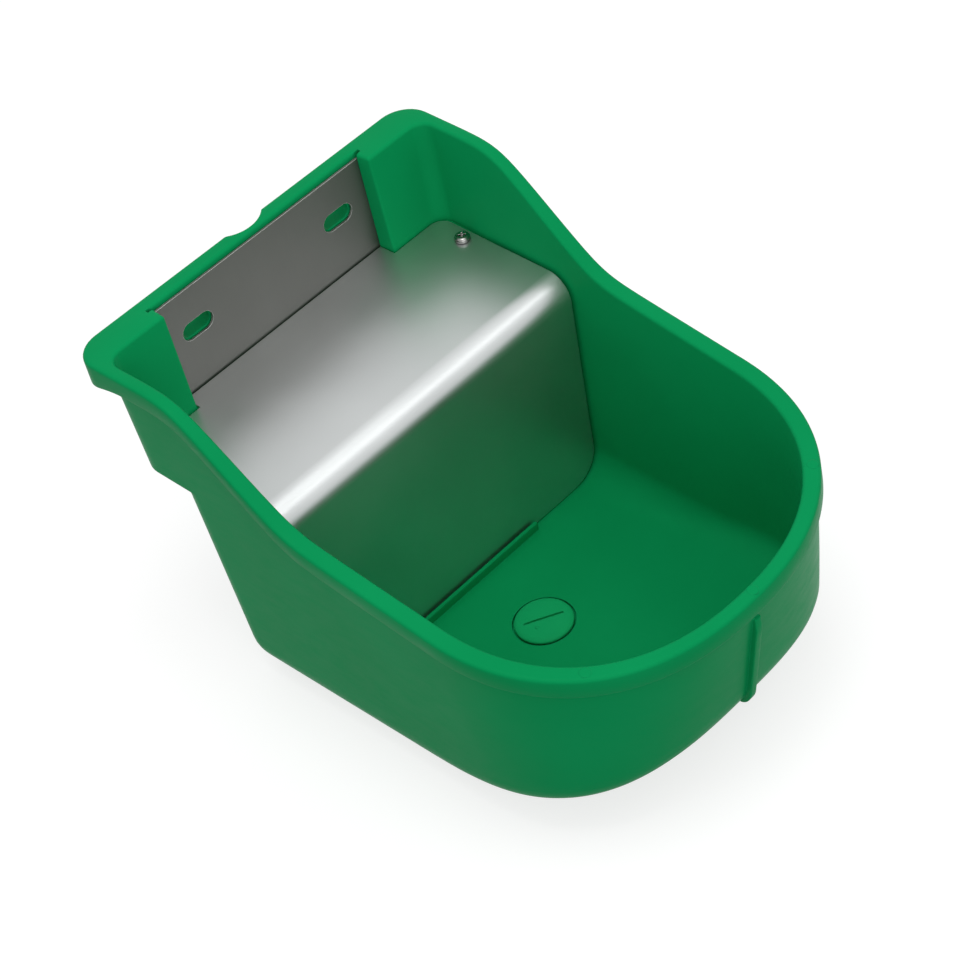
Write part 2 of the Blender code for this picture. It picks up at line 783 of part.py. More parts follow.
def cut_back(bowl):
    """Slots for the plate and the bolts, a notch for hanging, and the hollow flange."""
    half = RECESS_HALF_WIDTH + PLATE_IN_SLOT + PLATE_SLOT_PLAY
    low = at(-half, PLATE_FRONT + GAP, LEDGE_TOP)
    high = at(half, RECESS_DEPTH, BOWL_HEIGHT + OVERRUN)
    cut(bowl, box("plate_slot", low, high))
    length = BOLT_SLOT_LENGTH - 2 * WALL_SLOT_INSET
    width = BOLT_SLOT_WIDTH - 2 * WALL_SLOT_INSET
    for side in (-1, 1):
        frame = back_frame(side * BOLT_SPACING / 2, 0, BOLT_HEIGHT)
        cut(bowl, prism("bolt_slot", slot_outline(length, width), -OVERRUN,
                        RECESS_DEPTH + OVERRUN, frame))
        pocket_in = RECESS_HALF_WIDTH + JOG_OUTSET + JOG_RUN
        pocket_out = BOWL_WIDTH / 2 - FLANGE_CORNER_RADIUS
        top = BOWL_HEIGHT - FLANGE_POCKET_SKIN
        foot = BOWL_HEIGHT - FLANGE_HEIGHT - OVERRUN
        fore = BLOCK_OUTER_DEPTH + FLANGE_POCKET_BITE
        corners = (side * pocket_in, side * pocket_out)
        low = at(min(corners), fore, foot)
        high = at(max(corners), FLANGE_POCKET_SKIN, top)
        cut(bowl, box("flange_pocket", low, high))
    half = HANG_NOTCH_WIDTH / 2
    radius = (half * half + HANG_NOTCH_DEPTH * HANG_NOTCH_DEPTH) / (2 * HANG_NOTCH_DEPTH)
    centre = at(0, HANG_NOTCH_DEPTH - radius, BOWL_HEIGHT)
    cut(bowl, rod("notch", radius, -FLANGE_HEIGHT - OVERRUN, OVERRUN, centre, (0, 0, 1),
                  segments=2 * ROUND_SEGMENTS))


def cut_holes(bowl):
    """Holes for the cover's screws, the inlet and the drain."""
    for side in (-1, 1):
        centre = at(side * COVER_SCREW_SPACING / 2, COVER_SCREW_DEPTH, LEDGE_TOP)
        depth = LEDGE_THICKNESS + SCREW_BOSS_HEIGHT + OVERRUN
        cut(bowl, rod("pilot", SCREW_SHANK_RADIUS + GAP, -depth, OVERRUN, centre, (0, 0, 1),
                      segments=SMALL_SEGMENTS))
    cut(bowl, rod("inlet_hole", INLET_RADIUS + PILOT_GAP, 0, VALVE_DEPTH,
                  at(INLET_OFFSET, 0, INLET_HEIGHT), (0, -1, 0)))
    centre = at(0, DRAIN_DEPTH, 0)
    seat = FLOOR - DRAIN_RECESS_DEPTH
    cut(bowl, rod("drain_recess", DRAIN_RECESS_RADIUS, seat, FLOOR + OVERRUN, centre, (0, 0, 1)))
    cut(bowl, rod("drain_hole", DRAIN_STEM_RADIUS + PILOT_GAP, -OVERRUN, FLOOR, centre,
                  (0, 0, 1)))


def make_bowl(finish):
    """The one-piece moulded bowl."""
    bowl = loft("bowl_body", [both_sides(row) for row in bowl_rows()], finish)
    add_gussets(bowl)
    add_front_rib(bowl)
    add_bosses(bowl)
    cut_back(bowl)
    cut_holes(bowl)


def make_back_plate(finish):
    """The steel plate that spreads the load of the two bolts."""
    half = RECESS_HALF_WIDTH + PLATE_IN_SLOT
    high = BOWL_HEIGHT - PLATE_BELOW_RIM
    outline = [(-half, PLATE_BOTTOM), (half, PLATE_BOTTOM)]
    outline += arc(half - PLATE_CORNER, high - PLATE_CORNER, PLATE_CORNER, 0, 90, 4)
    outline += arc(PLATE_CORNER - half, high - PLATE_CORNER, PLATE_CORNER, 90, 180, 4)
    frame = back_frame(0, PLATE_BACK, 0)
    plate = prism("back_plate", outline, 0, PLATE_THICKNESS, frame, finish)
    for side in (-1, 1):
        frame = back_frame(side * BOLT_SPACING / 2, PLATE_BACK, BOLT_HEIGHT)
        cut(plate, prism("slot", slot_outline(BOLT_SLOT_LENGTH, BOLT_SLOT_WIDTH), -OVERRUN,
                         PLATE_THICKNESS + OVERRUN, frame))


def cover_shoulder_depth():
    """The depth of the cover's rear edges beside the tab, just clear of the blocks."""
    return BLOCK_DEPTH + LEDGE_BELOW_RIM * math.tan(UPPER_BACK_DRAFT) + COVER_BLOCK_GAP


def cover_path():
    """The cover's outer face seen from the side, from its rear edge to its foot."""
    rear = PLATE_FRONT + COVER_PLATE_GAP
    block = cover_shoulder_depth()
    turn = math.pi / 2 + COVER_LEAN
    centre = (COVER_TOP_DEPTH - COVER_BEND_RADIUS, COVER_TOP - COVER_BEND_RADIUS)
    path = [(rear, COVER_TOP)]
    for i in range(SHOULDER_STEPS + 1):
        angle = math.pi / 2 * i / SHOULDER_STEPS
        path.append((block + COVER_SHOULDER_RADIUS * (1 - math.cos(angle)), COVER_TOP))
    path.append((COVER_SCREW_DEPTH + SCREW_HEAD_RADIUS, COVER_TOP))
    for i in range(BEND_STEPS + 1):
        angle = math.pi / 2 - turn * i / BEND_STEPS
        path.append((centre[0] + COVER_BEND_RADIUS * math.cos(angle),
                     centre[1] + COVER_BEND_RADIUS * math.sin(angle)))
    start = path[-1]
    foot = FLOOR + COVER_FLOOR_GAP
    for i in range(1, COVER_FRONT_STEPS + 1):
        z = start[1] + (foot + COVER_FOOT_RADIUS - start[1]) * i / COVER_FRONT_STEPS
        path.append((start[0] - (start[1] - z) * math.tan(COVER_LEAN), z))
    for i in range(1, COVER_FOOT_STEPS + 1):
        z = foot + COVER_FOOT_RADIUS * (1 - math.sin(math.pi / 2 * i / COVER_FOOT_STEPS))
        path.append((start[0] - (start[1] - z) * math.tan(COVER_LEAN), z))
    return path


def cover_foot_depth():
    """The depth of the cover's front face at its lower edge."""
    return cover_path()[-1][0]


def cover_half_width(depth, z):
    """Half the cover's width, which follows the bowl's wall and the fillet at its foot."""
    lowest = FLOOR + COVER_FLOOR_GAP
    foot = lowest + COVER_FOOT_RADIUS
    plan = wall_plan(max(z, foot), WALL, upper=False)
    half = side_half(plan, depth) - COVER_SIDE_GAP
    if z < foot:
        drop = (foot - z) / COVER_FOOT_RADIUS
        half -= COVER_FOOT_RADIUS * (1 - math.sqrt(max(1 - drop * drop, 0)))
    shoulder = cover_shoulder_depth() + COVER_SHOULDER_RADIUS
    if depth < shoulder:
        back = min((shoulder - depth) / COVER_SHOULDER_RADIUS, 1)
        half -= COVER_SHOULDER_RADIUS * (1 - math.sqrt(1 - back * back))
    return half


def make_cover(finish):
    """A sheet bent over the valve, cut to the outline of the bowl's inside."""
    path = cover_path()
    tab = RECESS_HALF_WIDTH - GAP
    tangents = []
    for i in range(len(path)):
        before = path[max(i - 1, 0)]
        after = path[min(i + 1, len(path) - 1)]
        run = Vector((after[0] - before[0], after[1] - before[1])).normalized()
        tangents.append(run)
    layers = []
    for thickness in (0, COVER_THICKNESS):
        grid = []
        for (depth, z), run in zip(path, tangents):
            half = cover_half_width(depth, z)
            inward = Vector((run.y, -run.x)) * thickness
            xs = (-half, -tab, -tab / 3, tab / 3, tab, half)
            grid.append([at(x, depth + inward.x, z + inward.y) for x in xs])
        layers.append(grid)
    cells = [(0, column) for column in range(1, 4)]
    cells += [(row, column) for row in range(1, len(path) - 1) for column in range(5)]
    make_sheet("valve_cover", layers, cells, finish)
    cover = bpy.data.objects["valve_cover"]
    for side in (-1, 1):
        centre = at(side * COVER_SCREW_SPACING / 2, COVER_SCREW_DEPTH, COVER_TOP)
        cut(cover, rod("hole", SCREW_SHANK_RADIUS + GAP, -COVER_THICKNESS - OVERRUN, OVERRUN,
                       centre, (0, 0, 1), segments=SMALL_SEGMENTS))


def make_sheet(name, layers, cells, finish):
    """Two layers of a grid with the chosen cells filled and the open edges closed."""
    columns = len(layers[0][0])
    count = len(layers[0]) * columns
    points = [point for grid in layers for row in grid for point in row]
    faces = []
    edges = {}
    for row, column in cells:
        a = row * columns + column
        ring = (a, a + 1, a + 1 + columns, a + columns)
        faces.append(ring)
        faces.append(tuple(count + i for i in reversed(ring)))
        for i in range(4):
            pair = (ring[i], ring[(i + 1) % 4])
            if (pair[1], pair[0]) in edges:
                del edges[(pair[1], pair[0])]
            else:
                edges[pair] = True
    for a, b in edges:
        faces.append((b, a, count + a, count + b))
    used = sorted({index for face in faces for index in face})
    place = {index: i for i, index in enumerate(used)}
    faces = [tuple(place[index] for index in face) for face in faces]
    make_object(name, [points[index] for index in used], faces, finish)


def make_cover_screws(finish):
    """Two pan-head screws with a cross recess."""
    head = SCREW_HEAD_RADIUS
    rise = SCREW_HEAD_HEIGHT
    shank = SCREW_SHANK_RADIUS
    profile = [(shank * SCREW_POINT_SHARE, -SCREW_LENGTH), (shank, -SCREW_LENGTH + shank),
               (shank, 0), (head, 0)]
    profile += [(head * across, rise * up) for across, up in SCREW_HEAD_SHARES]
    for side, name in ((-1, "cover_screw_left"), (1, "cover_screw_right")):
        centre = at(side * COVER_SCREW_SPACING / 2, COVER_SCREW_DEPTH, COVER_TOP + GAP)
        screw = turned(name, profile, centre, (0, 0, 1), finish, SMALL_SEGMENTS)
        socket = prism("socket", hexagon(2 * SCREW_SOCKET_RADIUS), rise - SCREW_SOCKET_DEPTH,
                       rise + OVERRUN, Matrix.Translation(centre))
        cut(screw, socket)


def make_drain(plug_finish, seal_finish):
    """The plug in the floor, domed and slotted, on its flat seal."""
    centre = at(0, DRAIN_DEPTH, 0)
    seat = FLOOR - DRAIN_RECESS_DEPTH + GAP
    under = seat + DRAIN_SEAL_THICKNESS + GAP
    stem = DRAIN_STEM_RADIUS
    inset = DRAIN_SEAL_INSET
    washer("drain_plug_seal", stem + PILOT_GAP, DRAIN_HEAD_RADIUS - inset, seat,
           seat + DRAIN_SEAL_THICKNESS, centre, (0, 0, 1), seal_finish)
    head = DRAIN_HEAD_RADIUS
    edge = under + DRAIN_HEAD_EDGE
    profile = [(stem - inset, DRAIN_STEM_LIFT), (stem, DRAIN_STEM_LIFT + inset),
               (stem, under), (head, under), (head, edge)]
    for share in DRAIN_DOME_SHARES:
        rise = DRAIN_DOME_RISE * math.sqrt(1 - share * share)
        profile.append((head * share, edge + rise))
    plug = turned("drain_plug", profile, centre, (0, 0, 1), plug_finish)
    frame = Matrix.Translation(centre) @ Matrix.Rotation(COIN_SLOT_TURN, 4, "Z")
    top = edge + DRAIN_DOME_RISE
    cut(plug, prism("coin_slot", slot_outline(COIN_SLOT_LENGTH, COIN_SLOT_WIDTH, 3),
                    top - COIN_SLOT_DEPTH, top + OVERRUN, frame))


# The inlet runs forward along its axis, and its stations are depths from the back edge

INLET_PAD_OUTER = depth_of_lower_back(INLET_HEIGHT + INLET_BOSS_RADIUS) - INLET_BOSS_PROUD
INLET_PAD_INNER = (depth_of_lower_back(INLET_HEIGHT - INLET_BOSS_RADIUS) + WALL
                   + INLET_SEAT_PROUD)
GASKET_START = INLET_PAD_INNER + GAP
INLET_FLANGE_START = GASKET_START + GASKET_THICKNESS + GAP
INLET_FLANGE_END = INLET_FLANGE_START + FLANGE_THICKNESS
INLET_AXIS = (0, -1, 0)
VALVE_AXIS = (-1, 0, 0)


def inlet_origin():
    return at(INLET_OFFSET, 0, INLET_HEIGHT)


def valve_origin():
    return at(INLET_OFFSET, VALVE_DEPTH, INLET_HEIGHT)


def forward_frame(centre):
    """A frame whose Z runs forward from the wall."""
    return axis_frame(centre, INLET_AXIS)


def make_inlet(brass, rubber, steel):
    """The elbow with its threaded stem, and what clamps it in the wall."""
    origin = inlet_origin()
    stem = INLET_RADIUS
    middle = (INLET_FLANGE_START + INLET_FLANGE_END) / 2
    bevel = ELBOW_BEVEL
    profile = [(stem - bevel / 2, INLET_END_DEPTH), (stem, INLET_END_DEPTH + bevel / 2),
               (stem, middle), (VALVE_RADIUS, middle),
               (VALVE_RADIUS, VALVE_DEPTH + VALVE_RADIUS - bevel),
               (VALVE_RADIUS - bevel, VALVE_DEPTH + VALVE_RADIUS)]
    elbow = turned("inlet_elbow", profile, origin, INLET_AXIS, brass)
    flange = prism("flange", hexagon(FLANGE_ACROSS_FLATS), INLET_FLANGE_START,
                   INLET_FLANGE_END, forward_frame(origin))
    join(elbow, flange)
    corner = valve_origin()
    end = ELBOW_REACH + SPIGOT_LENGTH
    arm = turned("arm", [(ELBOW_ARM_RADIUS, 0), (ELBOW_ARM_RADIUS, ELBOW_REACH),
                         (SPIGOT_RADIUS, ELBOW_REACH), (SPIGOT_RADIUS, end)],
                 corner, VALVE_AXIS)
    join(elbow, arm)
    cut(elbow, rod("stem_bore", INLET_BORE, 0, VALVE_DEPTH, origin, INLET_AXIS))
    cut(elbow, rod("arm_bore", SPIGOT_BORE, 0, end + OVERRUN, corner, VALVE_AXIS))
    hole = stem + PILOT_GAP
    washer("inlet_gasket", hole, GASKET_RADIUS, GASKET_START, GASKET_START + GASKET_THICKNESS,
           origin, INLET_AXIS, rubber)
    washer_end = INLET_PAD_OUTER - GAP
    washer_start = washer_end - WASHER_THICKNESS
    washer("inlet_washer", hole, WASHER_RADIUS, washer_start, washer_end, origin, INLET_AXIS,
           steel)
    nut_end = washer_start - GAP
    nut = prism("inlet_locknut", hexagon(LOCKNUT_ACROSS_FLATS), nut_end - LOCKNUT_THICKNESS,
                nut_end, forward_frame(origin), brass)
    cut(nut, rod("nut_bore", hole, 0, nut_end + OVERRUN, origin, INLET_AXIS))


def make_strainer(finish):
    """A cup-shaped strainer in the end of the stem."""
    outer = INLET_BORE - GAP
    inner = outer - STRAINER_WALL
    eye = inner * STRAINER_EYE_SHARE
    rear = INLET_END_DEPTH + STRAINER_INSET
    end = rear + STRAINER_LENGTH
    profile = [(inner, rear), (outer, rear), (outer, end), (eye, end),
               (eye, end - STRAINER_WALL), (inner, end - STRAINER_WALL)]
    turned_ring("inlet_strainer", profile, inlet_origin(), INLET_AXIS, finish,
                segments=SMALL_SEGMENTS)


# Stations along the valve's axis, from the elbow's corner towards the float

BODY_START = ELBOW_REACH + GAP
BODY_END = BODY_START + VALVE_LENGTH
SHOULDER = BODY_START + SOCKET_DEPTH
RING_START = ELBOW_REACH + SPIGOT_LENGTH + GAP
NOZZLE_START = RING_START + RING_THICKNESS + GAP
NOZZLE_TIP = NOZZLE_START + NOZZLE_FLANGE + NOZZLE_LENGTH
SWING_TRAVEL = TAB_REACH * LEVER_SWING
DISC_START = NOZZLE_TIP + GAP + SWING_TRAVEL
PISTON_START = DISC_START + SEAT_DISC_PROUD
PISTON_END = PISTON_START + PISTON_LENGTH
TAB_AT_REST = PISTON_START + PISTON_LENGTH * TAB_ALONG_PISTON_SHARE
PIVOT_STATION = TAB_AT_REST - TAB_REACH * math.sin(LEVER_SWING / 2)


def pivot_point():
    return at(INLET_OFFSET - PIVOT_STATION, VALVE_DEPTH, INLET_HEIGHT - TAB_REACH)


def make_valve_body(brass):
    """The barrel with its socket, seat shoulder, outlet and the slot for the lever."""
    origin = valve_origin()
    socket = SPIGOT_RADIUS + PILOT_GAP
    barrel = PISTON_RADIUS + PILOT_GAP
    profile = [(socket, BODY_START), (VALVE_RADIUS, BODY_START), (VALVE_RADIUS, BODY_END),
               (barrel, BODY_END), (barrel, SHOULDER), (socket, SHOULDER)]
    body = turned_ring("valve_body", profile, origin, VALVE_AXIS, brass)
    half = LEVER_THICKNESS / 2 + LEVER_SIDE_PLAY
    slot_start = PIVOT_STATION - HUB_RADIUS - SWING_TRAVEL
    low = origin + Vector((-BODY_END - OVERRUN, -half, -VALVE_RADIUS - OVERRUN))
    high = origin + Vector((-slot_start, half, 0))
    cut(body, box("lever_slot", low, high))
    low = origin + Vector((-NOZZLE_TIP, 0, 0))
    cut(body, rod("outlet", OUTLET_RADIUS, 0, VALVE_RADIUS + OVERRUN, low, (0, 0, -1),
                  segments=SMALL_SEGMENTS))
    cut(body, rod("pin_hole", PIN_RADIUS + PIN_PLAY, -VALVE_RADIUS - OVERRUN,
                  VALVE_RADIUS + OVERRUN, pivot_point(), (0, -1, 0), segments=SMALL_SEGMENTS))


def make_valve_inside(brass, plastic, rubber):
    """The seal, nozzle, piston, its disc and the end cap."""
    origin = valve_origin()
    bore = SPIGOT_RADIUS
    washer("valve_seal_ring", RING_BORE, bore, RING_START, RING_START + RING_THICKNESS, origin,
           VALVE_AXIS, rubber, SMALL_SEGMENTS)
    flange_end = NOZZLE_START + NOZZLE_FLANGE
    loop = [(NOZZLE_BORE, NOZZLE_START), (bore, NOZZLE_START), (bore, flange_end),
            (NOZZLE_RADIUS, flange_end), (NOZZLE_SEAT_RADIUS, NOZZLE_TIP),
            (NOZZLE_BORE, NOZZLE_TIP)]
    turned_ring("valve_nozzle", loop, origin, VALVE_AXIS, plastic, SMALL_SEGMENTS)
    rod("seat_disc", SEAT_DISC_RADIUS, DISC_START, DISC_START + SEAT_DISC_THICKNESS, origin,
        VALVE_AXIS, rubber, SMALL_SEGMENTS)
    pocket = SEAT_DISC_RADIUS + GAP
    pocket_end = DISC_START + SEAT_DISC_THICKNESS + GAP
    piston = turned("valve_piston", [(PISTON_RADIUS, PISTON_START), (PISTON_RADIUS, PISTON_END)],
                    origin, VALVE_AXIS, brass, SMALL_SEGMENTS)
    cut(piston, rod("pocket", pocket, PISTON_START - OVERRUN, pocket_end, origin, VALVE_AXIS,
                    segments=SMALL_SEGMENTS))
    play = TAB_RADIUS + TAB_PLAY
    half = LEVER_THICKNESS / 2 + LEVER_SIDE_PLAY
    low = origin + Vector((-TAB_AT_REST - play, -half, -PISTON_RADIUS - OVERRUN))
    high = origin + Vector((-TAB_AT_REST + play, half, play))
    cut(piston, box("tab_slot", low, high))
    cap_start = BODY_END + GAP
    barrel = PISTON_RADIUS
    cap = [(barrel, cap_start - CAP_SPIGOT), (barrel, cap_start), (VALVE_RADIUS, cap_start),
           (VALVE_RADIUS, cap_start + CAP_THICKNESS - CAP_BEVEL),
           (VALVE_RADIUS - CAP_BEVEL, cap_start + CAP_THICKNESS)]
    turned("valve_end_cap", cap, origin, VALVE_AXIS, plastic, SMALL_SEGMENTS)


def lever_empty():
    """An empty on the lever's pin, turned down by the lever's whole swing."""
    empty = bpy.data.objects.new("lever_pivot", None)
    bpy.context.scene.collection.objects.link(empty)
    empty.location = pivot_point()
    empty.rotation_euler = (0, -LEVER_SWING, 0)
    return empty


def seat_on(piece, empty):
    """Hang a piece that was drawn about the pivot on the empty."""
    piece.parent = empty


def arm_frame():
    """A frame at the pivot seen from the front: X to the right, Y up, and Z forward."""
    return Matrix(((1, 0, 0), (0, 0, -1), (0, 1, 0))).to_4x4()


def make_lever(brass, steel):
    """The cranked lever, its pin and clip. It is drawn with the valve shut."""
    empty = lever_empty()
    frame = arm_frame()
    half = LEVER_THICKNESS / 2
    lean = LEVER_SWING / 2
    tab = (TAB_REACH * math.sin(lean), TAB_REACH * math.cos(lean))
    knee = (0, -CRANK_DROP)
    end = (-ARM_LENGTH, -CRANK_DROP)
    foot = (0, ARM_RADIUS / 2 - CRANK_DROP)
    lever = prism("float_lever", circle(0, 0, HUB_RADIUS), -half, half, frame, brass)
    join(lever, prism("neck", capsule(0, 0, *tab, TAB_NECK_RADIUS), -half, half, frame))
    join(lever, prism("tab", circle(*tab, TAB_RADIUS), -half, half, frame))
    join(lever, prism("crank", capsule(0, 0, *foot, CRANK_RADIUS), -half, half, frame))
    join(lever, prism("bar", capsule(*knee, *end, ARM_RADIUS), -half, half, frame))
    eye = Vector((end[0], 0, end[1]))
    join(lever, rod("eye", EYE_RADIUS, -EYE_HEIGHT / 2, EYE_HEIGHT / 2, eye, (0, 0, 1),
                    segments=SMALL_SEGMENTS))
    reach = EYE_HEIGHT
    cut(lever, rod("eye_hole", STEM_RADIUS + GAP, -reach, reach, eye, (0, 0, 1),
                   segments=SMALL_SEGMENTS))
    cut(lever, rod("pin_hole", PIN_RADIUS + PIN_PLAY, -reach, reach, Vector((0, 0, 0)),
                   (0, -1, 0), segments=SMALL_SEGMENTS))
    seat_on(lever, empty)
    head = -PIN_REACH - PIN_HEAD_THICKNESS
    tail = PIN_REACH + CLIP_THICKNESS + PIN_TAIL
    turned("lever_pin", [(PIN_HEAD_RADIUS, head), (PIN_HEAD_RADIUS, -PIN_REACH),
                         (PIN_RADIUS, -PIN_REACH), (PIN_RADIUS, tail - PIN_BEVEL),
                         (PIN_RADIUS - PIN_BEVEL, tail)], pivot_point(), (0, -1, 0), steel,
           SMALL_SEGMENTS)
    washer("lever_pin_clip", PIN_RADIUS + PIN_PLAY, CLIP_RADIUS, PIN_REACH,
           PIN_REACH + CLIP_THICKNESS, pivot_point(), (0, -1, 0), steel, SMALL_SEGMENTS)
    return empty


def make_float(empty, plastic, brass):
    """The float with its threaded stem, lock nut and wing nut."""
    eye_top = -CRANK_DROP + EYE_HEIGHT / 2
    eye_under = -CRANK_DROP - EYE_HEIGHT / 2
    nut_top = eye_under - GAP
    nut_under = nut_top - LOCK_NUT_HEIGHT
    top = nut_under - GAP
    low = top - FLOAT_HEIGHT
    x = -ARM_LENGTH
    rings = []
    steps = FLOAT_EDGE_STEPS
    edge = min(FLOAT_EDGE, FLOAT_END_RADIUS / 2)
    for i in range(steps + 1):
        angle = math.pi / 2 * i / steps
        rings.append((edge * (1 - math.sin(angle)), low + edge * (1 - math.cos(angle))))
    for i in range(steps + 1):
        angle = math.pi / 2 * (1 - i / steps)
        rings.append((edge * (1 - math.sin(angle)), top - edge * (1 - math.cos(angle))))
    levels = []
    for inset, z in rings:
        radius = FLOAT_END_RADIUS - inset
        outline = rounded_box_outline(FLOAT_LENGTH - 2 * inset, FLOAT_WIDTH - 2 * inset, radius)
        levels.append([Vector((x + px, py, z)) for px, py in outline])
    body = loft("float", levels, plastic)
    centre = Vector((x, 0, 0))
    cut(body, rod("stem_hole", STEM_RADIUS + GAP, top - STEM_IN_FLOAT - GAP, top + OVERRUN,
                  centre, (0, 0, 1), segments=SMALL_SEGMENTS))
    stem = rod("float_stem", STEM_RADIUS, top - STEM_IN_FLOAT, eye_top + STEM_ABOVE_EYE,
               centre, (0, 0, 1), brass, SMALL_SEGMENTS)
    hole = STEM_RADIUS + GAP
    nut = prism("float_lock_nut", hexagon(LOCK_NUT_ACROSS_FLATS), nut_under, nut_top,
                Matrix.Translation(centre), brass)
    cut(nut, rod("hole", hole, nut_under - OVERRUN, nut_top + OVERRUN, centre, (0, 0, 1),
                 segments=SMALL_SEGMENTS))
    base = eye_top + GAP
    wing = rod("float_wing_nut", WING_HUB_RADIUS, base, base + WING_HUB_HEIGHT, centre,
               (0, 0, 1), brass, SMALL_SEGMENTS)
    for side in (-1, 1):
        root = [(side * WING_HUB_RADIUS * across, base + WING_HUB_HEIGHT * up)
                for across, up in WING_ROOT_SHARES]
        tip = [(side * WING_SPAN * across, base + WING_HEIGHT * up)
               for across, up in WING_EDGE_SHARES]
        outline = [root[0], *tip, root[1]]
        half = WING_THICKNESS / 2
        frame = Matrix.Translation(centre) @ arm_frame()
        join(wing, prism("ear", outline, -half, half, frame))
    cut(wing, rod("hole", hole, base - OVERRUN, base + WING_HEIGHT, centre, (0, 0, 1),
                  segments=SMALL_SEGMENTS))
    for piece in (body, stem, nut, wing):
        seat_on(piece, empty)


def build():
    clear_scene()
    green = material("green_plastic", (0.02, 0.26, 0.10), 0.38)
    plug_green = material("plug_green", (0.02, 0.28, 0.11), 0.42)
    sheet = material("cover_steel", (0.55, 0.55, 0.54), 0.32, 1.0)
    plate = material("plate_steel", (0.36, 0.36, 0.34), 0.45, 1.0)
    screw = material("screw_steel", (0.6, 0.6, 0.6), 0.25, 1.0)
    brass = material("brass", (0.62, 0.45, 0.18), 0.35, 1.0)
    rubber = material("rubber", (0.02, 0.02, 0.02), 0.8)
    nylon = material("white_nylon", (0.75, 0.75, 0.72), 0.5)
    buoy = material("float_plastic", (0.03, 0.05, 0.14), 0.45)
    make_bowl(green)
    make_back_plate(plate)
    make_cover(sheet)
    make_cover_screws(screw)
    make_drain(plug_green, rubber)
    make_inlet(brass, rubber, screw)
    make_strainer(nylon)
    make_valve_body(brass)
    make_valve_inside(brass, nylon, rubber)
    empty = make_lever(brass, screw)
    make_float(empty, buoy, brass)


build()
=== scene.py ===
"""Looks of the livestock drinking bowl: fine skins over the fixed frame, and the studio.

Metres, +Z up, the wall at +Y, the round front at -Y. Depths are measured forward from
the bowl's back edge. The moulded bowl is one skin of rows, like the solid it stands
for, with more stations, rounded edges and the small pads on its rim.
"""

import json
import math

import bpy
import bmesh
from mathutils import Matrix, Vector


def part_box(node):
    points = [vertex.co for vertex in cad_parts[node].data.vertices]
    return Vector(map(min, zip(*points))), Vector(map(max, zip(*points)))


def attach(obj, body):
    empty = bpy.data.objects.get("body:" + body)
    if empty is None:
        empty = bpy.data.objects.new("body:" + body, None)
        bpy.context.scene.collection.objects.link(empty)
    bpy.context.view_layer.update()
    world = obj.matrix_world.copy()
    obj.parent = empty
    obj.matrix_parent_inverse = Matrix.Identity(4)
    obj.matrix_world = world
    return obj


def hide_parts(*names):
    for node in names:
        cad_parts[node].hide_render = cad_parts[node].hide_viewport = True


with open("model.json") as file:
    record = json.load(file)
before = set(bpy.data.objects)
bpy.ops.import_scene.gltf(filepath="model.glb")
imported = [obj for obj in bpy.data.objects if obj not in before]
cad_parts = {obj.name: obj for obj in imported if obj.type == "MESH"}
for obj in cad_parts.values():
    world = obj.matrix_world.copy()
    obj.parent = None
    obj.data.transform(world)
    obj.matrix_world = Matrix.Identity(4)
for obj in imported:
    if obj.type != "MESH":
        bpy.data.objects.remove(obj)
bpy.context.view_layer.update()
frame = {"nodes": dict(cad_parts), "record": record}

SIDES = (-1, 1)
UP = (0, 0, 1)
FORWARD = (0, -1, 0)

# The bowl's overall sizes, from the frame
BOWL_LOW, BOWL_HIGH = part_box("bowl_body")
BOWL_WIDTH = BOWL_HIGH.x - BOWL_LOW.x
BOWL_DEPTH = BOWL_HIGH.y - BOWL_LOW.y
BOWL_HEIGHT = BOWL_HIGH.z - BOWL_LOW.z

# The bowl's walls
WALL = 0.0055
FLOOR = 0.0040
SIDE_DRAFT = math.radians(1.95)
FRONT_DRAFT = math.radians(12.1)
FRONT_DRAFT_INSIDE = math.radians(10.2)
BACK_DRAFT = math.radians(2.2)
UPPER_BACK_DRAFT = math.radians(1.5)
SIDE_TOE_IN = math.radians(1.1)

# The bowl's plan
FRONT_ROUND_LENGTH = 0.1103
FRONT_ROUND_POWER = 2.25
BASE_ROUND_POWER = 3.05
FLANGE_CORNER_RADIUS = 0.018
LOWER_CORNER_RADIUS = 0.016
POCKET_CORNER_RADIUS = 0.009

# The bowl's underside
SIDE_FILLET_REACH = 0.0245
SIDE_FILLET_RISE = 0.0248
FRONT_FILLET_REACH = 0.142
FRONT_FILLET_RISE = 0.0435
FRONT_SHRINK_SHARE = 0.44
FRONT_FILLET_POWER = 0.8
CORNER_SHRINK_SHARE = 0.6

# The rim, seen from the side
FALL_START = 0.0763
FALL_END = 0.1429
FALL_SLOPE = 0.901
FRONT_SLOPE = 0.140
RIM_BLEND = 0.0065
LIP_PROUD = 0.0025
LIP_HEIGHT = 0.012
FLANGE_HEIGHT = 0.018
FLANGE_RUN = 0.040
RIM_ROUND = 0.002
LIP_FOOT_ROUND = 0.0008

# The upper back
RECESS_HALF_WIDTH = 0.0754
RECESS_DEPTH = 0.0097
RECESS_WALL = 0.0042
BLOCK_DEPTH = 0.0219
BLOCK_OUTER_DEPTH = 0.018
JOG_RUN = 0.0006
JOG_ROUND = 0.0014
JOG_OUTSET = 0.0092
LOWER_BLOCK_SHARE = 0.9
LEDGE_BELOW_RIM = 0.0665
LEDGE_THICKNESS = 0.004
LEDGE_FALL = 0.0003
LOWER_BACK_DEPTH = 0.0517

# Clearances
GAP = 0.0003
OVERRUN = 0.002
PILOT_GAP = 0.0004

